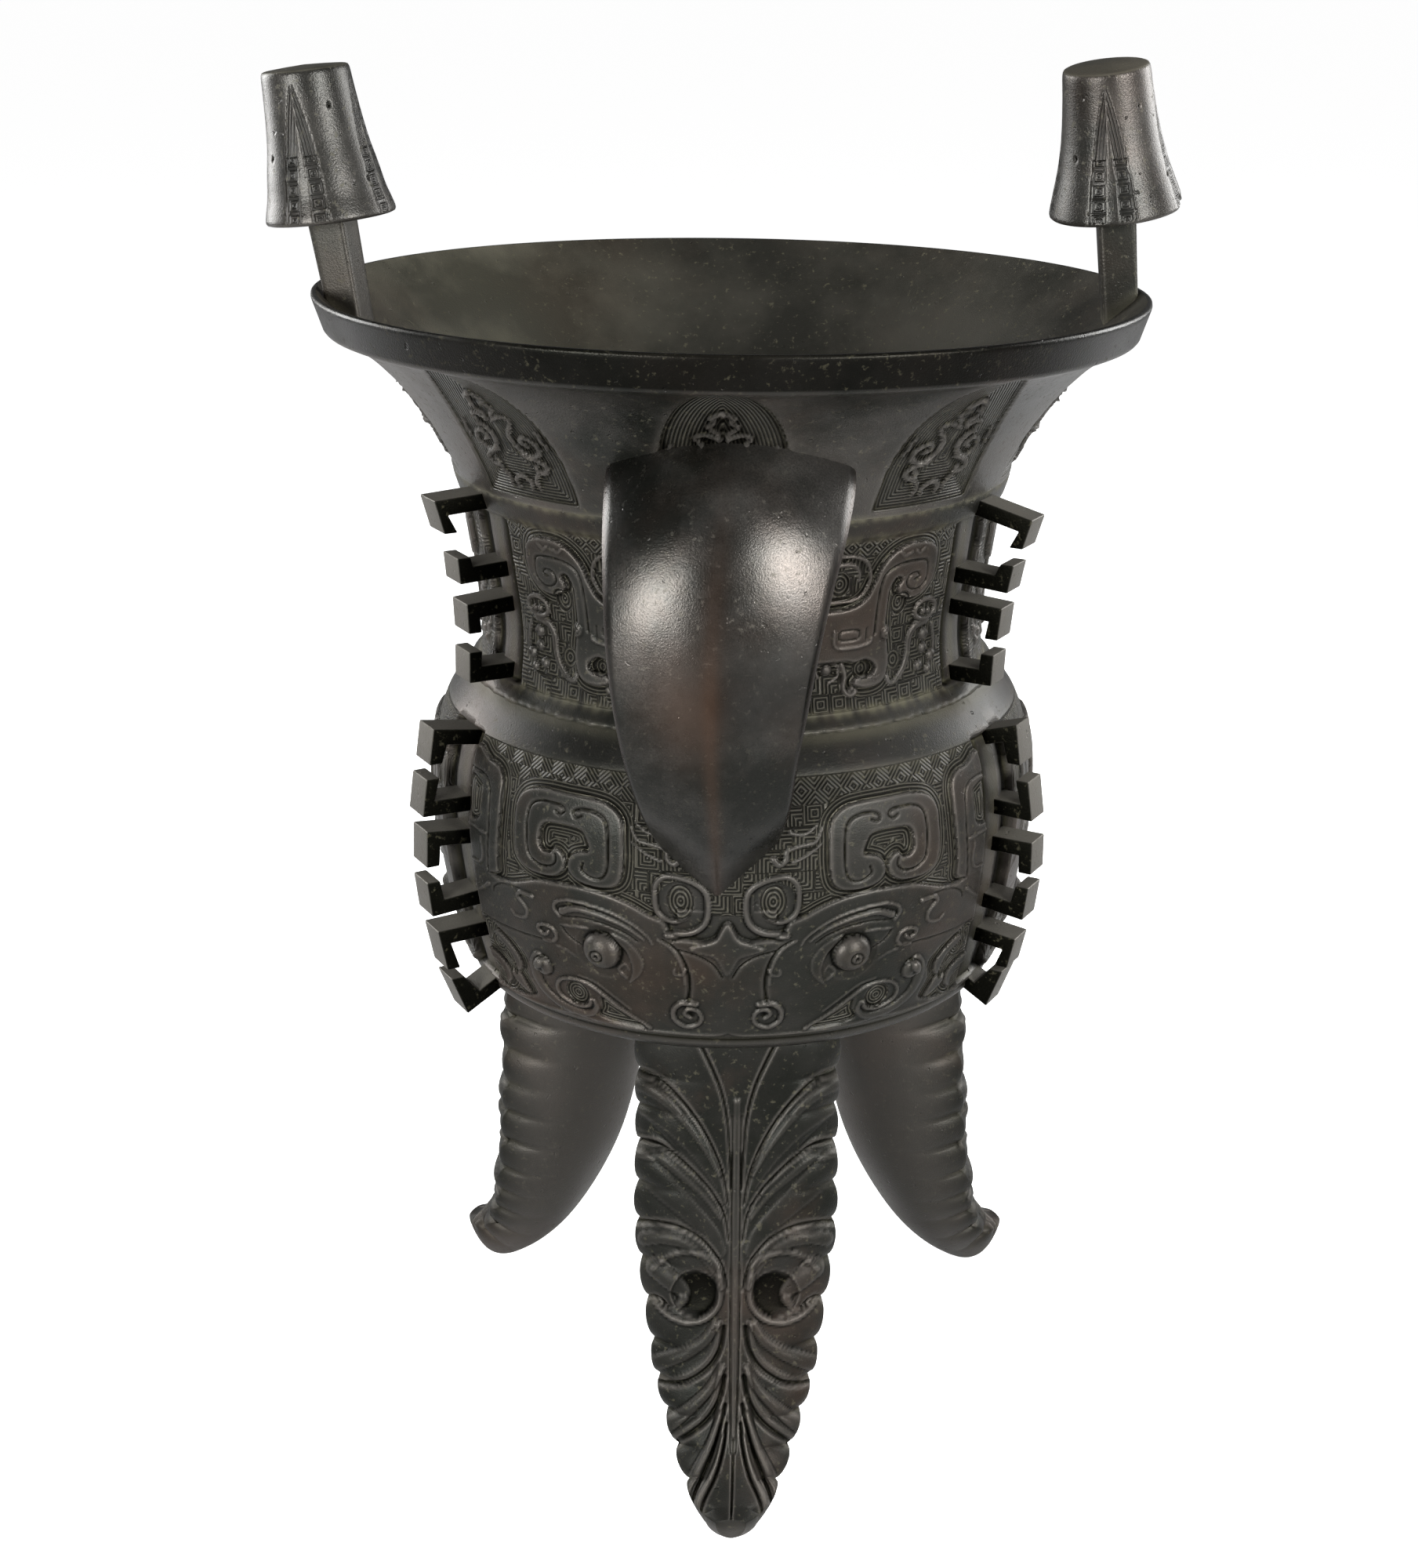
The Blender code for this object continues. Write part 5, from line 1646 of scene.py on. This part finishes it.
        back_side = np.cos(turn)[None, :] * (half[:, None] - notch[:, None] * wedge)
        back_level = (depth - sweep)[:, None] * (1 - np.sin(turn)[None, :] ** 0.9)
        side = np.concatenate([side, back_side], 1)
        level = np.concatenate([level, back_level], 1)
        distance = back_r[:, None] + out[:, 0, None] * level
        height = back_z[:, None] + out[:, 1, None] * level
        height = np.maximum(height, 0.0)
        shift = self.cast_off * (1 - 1.2 * share)[:, None]
        points = polar(np.full(distance.shape, self.angle), distance, height, side + shift)
        masks = {}
        for key, values in relief_masks(carving).items():
            seen = lookup(carving, values, side, pattern_z)
            seen[:, self.face_steps:] = 0
            masks[key] = seen
        groove = self.notch(face_z + self.edge_drop * sweep)[:, None] * np.concatenate(
            [smoothstep((np.abs(across) - 0.8) / 0.2), near])[None, :]
        masks["dust_and_light"] = np.clip(masks["dust_and_light"] * 0.8 + groove * 0.5, 0, 1)
        # painted light: the smooth back is lightened in the worn-metal colour, away from the flutes
        masks["wear_and_light"][:, self.face_steps:] = 0.9 * (1 - near)[None, :]
        masks["ground"][:] = 0
        item = grid_mesh(self.name, settle(points), masks, wrap=True, close_ends=True, flip=True)
        return hand_over(item, self.finish)


def lookup(relief: Relief, values: np.ndarray, across: np.ndarray, up: np.ndarray) -> np.ndarray:
    """Read a height map between its cells.

    Args:
        relief: the map, whose grid is even.
        values: what to read from it.
        across: places across in millimetres.
        up: places up in millimetres.

    Returns:
        The values at those places.
    """
    columns, rows = len(relief.across) - 1, len(relief.up) - 1
    x = (across - relief.across[0]) / (relief.across[-1] - relief.across[0]) * columns
    y = (up - relief.up[0]) / (relief.up[-1] - relief.up[0]) * rows
    x, y = np.clip(x, 0, columns - 1e-6), np.clip(y, 0, rows - 1e-6)
    left, low = x.astype(int), y.astype(int)
    u, v = x - left, y - low
    lower = values[low, left] * (1 - u) + values[low, left + 1] * u
    upper = values[low + 1, left] * (1 - u) + values[low + 1, left + 1] * u
    return lower * (1 - v) + upper * v


@dataclass
class HookRow:
    """One upright row of openwork hooks, as flat plates with softened edges."""

    name: str
    angle: float
    hooks: Sequence[tuple[float, ...]]
    finish: bpy.types.Material
    thickness: float = 14.0
    aside: float = 0.0
    bar: float = 6.2
    tip: float = 5.4
    root: float = 5.0
    bevel: float = 0.7

    def wall(self, height: float) -> float:
        """Give the wall's distance from the axis at a height."""
        outline = [*BodySector.profile[3:-2], *WaistSector.profile[3:]]
        heights = [z for _, z in outline]
        return float(np.interp(height, heights, [r for r, _ in outline]))

    def outline(self, row: tuple[float, ...]) -> list[tuple[float, float]]:
        """Give the outline of one hook as distances and heights."""
        reach, corner, rise, turn, drop, flare = row
        root_z = corner + rise
        root_r = self.wall(root_z) - self.root
        bar_rise = rise * self.tip / (reach - root_r)
        return [
            (root_r, root_z),
            (reach, corner),
            (reach + flare, corner + turn * drop),
            (reach + flare - self.tip, corner + turn * drop),
            (reach - self.tip, corner + bar_rise + turn * self.bar),
            (root_r, root_z + turn * self.bar),
        ]

    def build(self) -> bpy.types.Object:
        """Build the row's mesh.

        Returns:
            The dressed piece.
        """
        work = bmesh.new()
        for row in self.hooks:
            corners = self.outline(row)
            rings = []
            for side in (-self.thickness / 2, self.thickness / 2):
                made = [polar(self.angle, r, z, side + self.aside) for r, z in corners]
                rings.append([work.verts.new(settle(np.array(spot)) * MM) for spot in made])
            count = len(corners)
            work.faces.new(rings[0])
            work.faces.new(rings[1][::-1])
            for step in range(count):
                after = (step + 1) % count
                work.faces.new((rings[0][after], rings[0][step], rings[1][step], rings[1][after]))
        bmesh.ops.recalc_face_normals(work, faces=work.faces)
        bmesh.ops.bevel(work, geom=work.edges, offset=self.bevel * MM, segments=3, profile=0.6,
                        affect="EDGES")
        bmesh.ops.triangulate(work, faces=[face for face in work.faces if len(face.verts) > 4])
        mesh = bpy.data.meshes.new(self.name)
        work.to_mesh(mesh)
        work.free()
        self.paint(mesh)
        item = bpy.data.objects.new(self.name, mesh)
        bpy.context.scene.collection.objects.link(item)
        mesh.shade_smooth()
        mesh.set_sharp_from_angle(angle=math.radians(16))
        return hand_over(item, self.finish)

    def paint(self, mesh: bpy.types.Mesh) -> None:
        """Give the plates their masks: dust near the wall and on upward faces, painted shade on the
        broad sides, and painted light on the narrow faces round the outline.
        """
        places = np.array([vertex.co for vertex in mesh.vertices]) / MM
        walls = np.array([self.wall(z) for z in places[:, 2]])
        out = np.hypot(places[:, 0], places[:, 1]) - walls
        upward = np.array([vertex.normal.z for vertex in mesh.vertices])
        turn = math.radians(self.angle)
        across = places[:, 0] * math.cos(turn) + places[:, 1] * math.sin(turn) - self.aside
        plate = smoothstep((np.abs(across) - self.thickness / 2) / self.bevel + 1)
        dust_and_light = 0.6 * np.clip(1 - out / 5, 0, 1) + 0.45 * np.clip(upward, 0, 1)
        # painted shade darkens the broad sides and painted light lightens the narrow faces round each
        # hook's outline
        for key, values in (("dust_and_light", np.clip(dust_and_light, 0, 1) * (1 - plate)), ("wear_and_light", 1 - plate),
                            ("painted_shade", plate),
                            ("lines", 0 * out), ("ground", 0 * out)):
            layer = mesh.attributes.new(key, "FLOAT", "POINT")
            layer.data.foreach_set("value", values.astype(np.float32))


@dataclass
class Post:
    """One square post on the lip with its flared cap and the four blades cast on it."""

    name: str
    foot: tuple[float, float]
    base: tuple[float, float, float]
    lean_side: float
    lean_front: float
    turn: float
    radius: float
    blade_turn: float
    finish: bpy.types.Material
    post_finish: bpy.types.Material
    chipped: bool = False
    side: float = 14.8
    cap_height: float = 54.2
    waist_radius: float = 18.4
    top_radius: float = 16.3
    columns: int = 220
    degree: float = 0.35

    def axis(self) -> Vector:
        """Give the direction in which the post leans."""
        across = math.tan(math.radians(self.lean_side))
        front = math.tan(math.radians(self.lean_front))
        return Vector((across, -front, 1)).normalized()

    def outline(self) -> np.ndarray:
        """Give the cap's outline from under its foot to its top."""
        tall, radius = self.cap_height, self.radius
        points = [
            (0.05, 1.2), (radius - 4.0, 1.0), (radius - 1.6, 0.1), (radius - 0.3, 0.4),
            (radius, 1.6), (radius - 0.9, 5.0), (radius - 2.4, 10.0),
            (self.waist_radius + 2.3, tall * 0.33), (self.waist_radius + 0.4, tall * 0.5),
            (self.waist_radius - 0.7, tall * 0.66), (self.top_radius + 0.5, tall * 0.84),
            (self.top_radius, tall - 1.6), (self.top_radius - 0.5, tall - 0.4),
            (self.top_radius - 1.8, tall), (8.0, tall + 0.5), (0.05, tall + 0.9),
        ]
        return even_profile(points, 0.75, 1)

    def carve(self, angles: np.ndarray, heights: np.ndarray) -> Relief:
        """Carve the four blades with their nested lines and squared spirals.

        Args:
            angles: angle of each column.
            heights: height of each row on the cap.

        Returns:
            The carved height map.
        """
        relief = Relief(angles, heights, self.degree)
        local = np.mod(angles - self.blade_turn + 45, 90) - 45
        share = np.clip(heights / 50.0, 0, 1)
        half = 22.0 * (1 - share**2.2) ** 0.8
        room = (half[:, None] - np.abs(local)[None, :]) * self.degree
        spine = 1.7 * smoothstep((42 - heights) / 30)[:, None]
        from_spine = np.abs(local)[None, :] * self.degree - spine
        tall = heights[:, None]
        field_mask = smoothstep(room / 0.35) * smoothstep(from_spine / 0.35)
        field_mask = field_mask * smoothstep((tall - 1.4) / 0.5) * (tall < 50)
        upper = smoothstep((tall - 23.5) / 1.0)
        cell = 5.2
        u = np.mod(from_spine / cell, 1.0) - 0.5
        v = np.mod(tall / cell, 1.0) - 0.5
        squares = np.maximum(np.abs(u), np.abs(v)) * cell
        relief.lines = np.where(upper > 0.5, np.maximum(room, 0) * 0.95, squares)
        relief.ground = field_mask * np.ones_like(relief.height)
        relief.height -= 0.25 * field_mask
        for turn, tall_at in ((32.0, 41.0), (58.0, 14.0), (-52.0, 24.0)):
            relief.dome((turn, tall_at), 0.9, -0.8)
            relief.darken((turn, tall_at), 1.1, 1.0)
        return relief

    def chip(self, points: np.ndarray, angles: np.ndarray, heights: np.ndarray) -> np.ndarray:
        """Break a small piece out of the cap's lower edge."""
        near = np.exp(-(((angles - 76) / 9) ** 2))[None, :]
        low = np.clip(1 - heights / 5.0, 0, 1)[:, None]
        ragged = 1 + 0.25 * np.sin(angles * 1.7)[None, :] * np.ones_like(low)
        bite = near * low * ragged
        moved = points.copy()
        moved[..., 2] += 4.2 * bite
        shrink = 1 - 0.10 * bite
        moved[..., 0] *= shrink
        moved[..., 1] *= shrink
        return moved

    def build_cap(self) -> bpy.types.Object:
        """Build the cap's mesh.

        Returns:
            The dressed piece.
        """
        outline = self.outline()
        angles = np.arange(self.columns) * 360 / self.columns - 180
        heights = outline[:, 1].copy()
        up = np.maximum.accumulate(heights + np.arange(len(heights)) * 1e-6)
        relief = self.carve(angles, up)
        radial = outline[:, 0] > 12
        relief.height *= radial[:, None]
        relief.ground *= (radial & (heights < 51))[:, None]
        slope = np.gradient(outline, axis=0)
        slope /= np.maximum(np.linalg.norm(slope, axis=1), 1e-9)[:, None]
        distance = outline[:, 0, None] + slope[:, 1, None] * relief.height
        height = outline[:, 1, None] - slope[:, 0, None] * relief.height
        points = polar(angles[None, :], distance, height)
        if self.chipped:
            points = self.chip(points, angles, outline[:, 1])
        turn = np.array(Vector((0, 0, 1)).rotation_difference(self.axis()).to_matrix())
        points = points @ turn.T + np.array(self.base)
        masks = relief_masks(relief)
        # dust on the flat top, laid on heavily so the top looks lighter: partly painted light
        masks["dust_and_light"] = np.maximum(masks["dust_and_light"], 0.7 * (heights > 53.6)[:, None])
        edge = np.exp(-(((heights - 0.8) / 1.0) ** 2)) + 0.6 * np.exp(-(((heights - 53.8) / 0.5) ** 2))
        masks["wear_and_light"] = np.clip(masks["wear_and_light"] * 0.5 + edge[:, None] * 0.6, 0, 1)
        item = grid_mesh(f"{self.name}_cap", settle(points), masks, wrap=True)
        return hand_over(item, self.finish)

    def slope_height(self, distance: float) -> float:
        """Give the height of the mouth's inner slope at a distance from the axis."""
        outline = Inside.profile[:8][::-1]
        return float(np.interp(distance, [r for r, _ in outline], [z for _, z in outline]))

    def build_post(self) -> bpy.types.Object:
        """Build the post's mesh.

        Returns:
            The dressed piece.
        """
        count, rings = 48, 26
        turn = np.linspace(0, 2 * np.pi, count, endpoint=False)
        squarer = (np.abs(np.cos(turn)) ** 14 + np.abs(np.sin(turn)) ** 14) ** (-1 / 14)
        spin = math.radians(self.turn)
        x = np.cos(turn) * squarer * self.side / 2
        y = np.sin(turn) * squarer * self.side / 2
        ring = np.stack([x * math.cos(spin) + y * math.sin(spin),
                         -x * math.sin(spin) + y * math.cos(spin)], 1)
        low = np.zeros((count, 3))
        for place, corner in enumerate(ring):
            spot = np.array(self.foot) + corner
            distance = min(float(np.hypot(*spot)), 156.4)
            spot = spot / np.hypot(*spot) * distance
            low[place] = (*spot, self.slope_height(distance) - 3.4)
        high = np.column_stack([ring, np.zeros(count)])
        high = high + np.array(self.base) + np.array(self.axis()) * 5.0
        share = np.linspace(0, 1, rings)[:, None, None]
        points = low[None] * (1 - share) + high[None] * share
        masks = plain_masks(points, 0.05)
        masks["dust_and_light"] = np.clip(1.1 - np.linspace(0, 1, rings) * 5, 0.05, 1)[:, None] * np.ones(
            (rings, count))
        # lighter corners: worn edges, and a painted highlight along each corner
        corner = smoothstep((squarer - 1.25) / 0.12)[None, :]
        masks["wear_and_light"] = 0.5 * corner * np.ones((rings, count))
        item = grid_mesh(f"{self.name}_post", settle(points), masks, wrap=True, close_ends=True)
        return hand_over(item, self.post_finish)

    def build(self) -> None:
        """Build the post and its cap."""
        self.build_post()
        self.build_cap()


@dataclass
class Studio:
    """Pale floor, soft lights and the camera at the photograph's viewing angle."""

    location: tuple[float, float, float] = (0.0, -0.8805, 0.5926)
    pitch: float = 20.16
    yaw: float = -0.61
    roll: float = -0.25
    lens: float = 51.75
    sensor: float = 36.0
    fill: float = 0.14
    floor_glow: float = 0.66
    sky_strength: float = 0.72
    sky_spread: float = 50.0
    lights: Sequence[tuple[str, tuple[float, float, float], float, float]] = (
        ("left_box", (-0.98, -1.44, 0.62), 0.60, 48.0),
        ("right_box", (1.08, -1.31, 0.80), 0.62, 49.0),
        ("left_rim", (-1.5, 0.75, 0.8), 0.9, 34.0),
        ("right_rim", (1.5, 0.75, 0.8), 0.9, 34.0),
    )

    def add_camera(self) -> None:
        """Create the camera and make it the scene's own."""
        pitch, yaw, roll = (math.radians(v) for v in (self.pitch, self.yaw, self.roll))
        forward = Vector((math.sin(yaw) * math.cos(pitch), math.cos(yaw) * math.cos(pitch),
                          -math.sin(pitch)))
        right = Vector((math.cos(yaw), -math.sin(yaw), 0))
        up = right.cross(forward)
        turned_right = right * math.cos(roll) + up * math.sin(roll)
        turned_up = up * math.cos(roll) - right * math.sin(roll)
        data = bpy.data.cameras.new("camera")
        data.sensor_fit = "VERTICAL"
        data.sensor_height = self.sensor
        data.lens = self.lens
        camera = bpy.data.objects.new("camera", data)
        axes = Matrix((turned_right, turned_up, -forward)).transposed()
        camera.matrix_world = Matrix.Translation(self.location) @ axes.to_4x4()
        bpy.context.scene.collection.objects.link(camera)
        bpy.context.scene.camera = camera

    def add_lights(self) -> None:
        """Create the soft boxes, each aimed at the middle of the vessel."""
        for name, place, size, power in self.lights:
            data = bpy.data.lights.new(name, "AREA")
            data.size = size
            data.energy = power
            lamp = bpy.data.objects.new(name, data)
            lamp.location = place
            aim = Vector((0, 0, 0.3)) - Vector(place)
            lamp.rotation_euler = aim.to_track_quat("-Z", "Y").to_euler()
            bpy.context.scene.collection.objects.link(lamp)
        data = bpy.data.lights.new("sky_panel", "SUN")
        data.energy = self.sky_strength
        data.angle = math.radians(self.sky_spread)
        sky = bpy.data.objects.new("sky_panel", data)
        sky.rotation_euler = (math.radians(14), 0, 0)
        bpy.context.scene.collection.objects.link(sky)

    def add_world(self) -> None:
        """Give the scene an even pale surround."""
        world = bpy.data.worlds.new("surround")
        world.use_nodes = True
        tree = world.node_tree
        back = tree.nodes["Background"]
        back.inputs["Color"].default_value = (1, 1, 1, 1)
        seen = tree.nodes.new("ShaderNodeLightPath").outputs["Is Camera Ray"]
        strength = math_node(tree, "MULTIPLY_ADD", seen, 1.0 - self.fill, self.fill)
        tree.links.new(strength, back.inputs["Strength"])
        bpy.context.scene.world = world
        bpy.context.scene.view_settings.view_transform = "Standard"

    def add_floor(self) -> None:
        """Create the plain pale floor."""
        mesh = bpy.data.meshes.new("floor")
        reach = 60.0
        mesh.from_pydata([(-reach, -reach, 0), (reach, -reach, 0), (reach, reach, 0),
                          (-reach, reach, 0)], [], [(0, 1, 2, 3)])
        floor = bpy.data.objects.new("floor", mesh)
        material = bpy.data.materials.new("pale_floor")
        material.use_nodes = True
        shader = material.node_tree.nodes["Principled BSDF"]
        seen = material.node_tree.nodes.new("ShaderNodeLightPath").outputs["Is Camera Ray"]
        pale = math_node(material.node_tree, "MULTIPLY_ADD", seen, 0.45, 0.45)
        material.node_tree.links.new(pale, shader.inputs["Base Color"])
        glow = math_node(material.node_tree, "MULTIPLY", seen, self.floor_glow)
        shader.inputs["Emission Color"].default_value = (1, 1, 1, 1)
        material.node_tree.links.new(glow, shader.inputs["Emission Strength"])
        shader.inputs["Roughness"].default_value = 0.9
        shader.inputs["Specular IOR Level"].default_value = 0.0
        mesh.materials.append(material)
        bpy.context.scene.collection.objects.link(floor)

    def build(self) -> None:
        """Set up the whole studio."""
        self.add_camera()
        self.add_lights()
        self.add_world()
        self.add_floor()
        log.info("studio ready")


RIGHT_HOOKS = (
    (130.0, 398.6, 6.0, -1, 11.5, -3.5),
    (121.2, 369.4, 1.6, 1, 11.0, 2.2),
    (119.4, 363.2, 1.4, -1, 12.8, -1.4),
    (116.2, 332.0, -0.2, 1, 12.3, 0.6),
    (127.4, 318.4, -5.4, -1, 16.2, 2.2),
    (135.5, 280.2, 0.3, 1, 15.8, -2.2),
    (136.0, 271.4, -0.2, -1, 13.4, 0.1),
    (133.4, 238.1, 2.5, 1, 14.0, 1.9),
    (130.8, 229.3, 2.2, -1, 13.1, -3.0),
    (119.6, 197.6, 7.4, 1, 16.6, 6.4),
)
LEFT_HOOKS = (
    (128.4, 403.6, 1.2, -1, 12.8, -3.5),
    (119.4, 371.0, 1.0, 1, 10.0, 0.8),
    (117.2, 363.0, 1.4, -1, 11.6, -0.4),
    (117.4, 332.2, -0.4, 1, 12.0, -0.4),
    (133.1, 316.4, -3.6, -1, 14.2, 2.3),
    (139.2, 281.8, -0.9, 1, 14.8, -2.3),
    (137.8, 275.6, -2.2, -1, 14.8, 0.8),
    (137.2, 240.1, 1.4, 1, 14.4, 1.6),
    (135.3, 233.4, 0.2, -1, 17.2, -3.4),
    (124.2, 195.4, 9.4, 1, 16.6, 6.4),
)


def build_vessel() -> None:
    """Build and dress every piece of the vessel."""
    cast = BronzeFinish("carved_bronze").build()
    smooth = BronzeFinish("neck_bronze", light=(0.052, 0.048, 0.043), roughness=0.30,
                          specular=0.34).build()
    strap = BronzeFinish("strap_bronze", light=(0.064, 0.060, 0.055), wear_and_light_colour=(0.075, 0.040, 0.024),
                         roughness=0.26, rough_spread=0.06, pit_height=0.10, grit_height=0.03,
                         grain_share=0.5,
                         metallic=0.75, specular=0.50, speck_share=0.08, tint_share=0.25,
                         wear_and_light_share=0.75).build()
    plain = BronzeFinish("cap_bronze", light=(0.048, 0.044, 0.039), roughness=0.28,
                         specular=0.40, pit_height=0.3, grit_height=0.05, grain_share=0.5,
                         ridge_share=0.0, valley_share=0.7, line_height=0.4).build()
    legs = BronzeFinish("leg_bronze", dark=(0.006, 0.0065, 0.005), light=(0.0155, 0.0147, 0.013),
                        roughness=0.40, metallic=0.5, specular=0.12, tint_share=0.35,
                        wear_and_light_share=0.45).build()
    hooks = BronzeFinish("hook_bronze", light=(0.050, 0.047, 0.042), wear_and_light_colour=(0.095, 0.089, 0.078),
                         roughness=0.40, specular=0.10, tint_share=0.1, dust_and_light_share=0.6,
                         wear_and_light_share=0.7, painted_shade_share=1.0).build()
    posts = BronzeFinish("post_bronze", light=(0.024, 0.023, 0.020), roughness=0.36,
                         specular=0.25, tint_share=0.15, dust_and_light_share=0.7).build()
    hollow = BronzeFinish("inner_bronze", dark=(0.012, 0.012, 0.010), light=(0.038, 0.036, 0.031),
                          roughness=0.46, metallic=0.4, tint_share=0.15, dust_and_light_share=0.8,
                          speck_share=0.5).build()
    for name, middle, step in (("front_body", 0, 0.55), ("right_body", 120, 1.05),
                               ("left_body", 240, 1.05)):
        BodySector(name, middle, step, step, cast).build()
    for name, middle, step in (("front_waist", 0, 0.56), ("right_waist", 120, 1.0),
                               ("left_waist", 240, 1.0)):
        WaistSector(name, middle, step, step, cast).build()
    Neck(smooth).build()
    Inside(hollow).build()
    Handle(strap).build()
    Leg("front_leg", 0, 2.4, 270, 160, legs).build()
    Leg("right_leg", 122.5, 0.0, 190, 76, legs).build()
    Leg("left_leg", 236, 0.0, 190, 76, legs).build()
    HookRow("right_hooks", 60, RIGHT_HOOKS, hooks, 12.4, 2.4).build()
    HookRow("back_hooks", 180, RIGHT_HOOKS, hooks).build()
    HookRow("left_hooks", 300, LEFT_HOOKS, hooks, 14.0, -3.0).build()
    Post("left", (-143.5, -19.2), (-149.1, -19.2, 499.1), -7.0, 0.5, 15.0, 24.4, -11.4, plain,
         posts).build()
    Post("right", (151.8, 4.8), (147.1, 4.8, 503.1), -8.4, 7.0, 4.0, 25.4, -11.4, plain,
         posts, True).build()


def main() -> None:
    """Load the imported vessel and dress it."""
    logging.basicConfig(level=logging.INFO, format="%(message)s")
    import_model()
    Studio().build()
    build_vessel()
    bpy.context.view_layer.update()


if __name__ == "__main__":
    main()
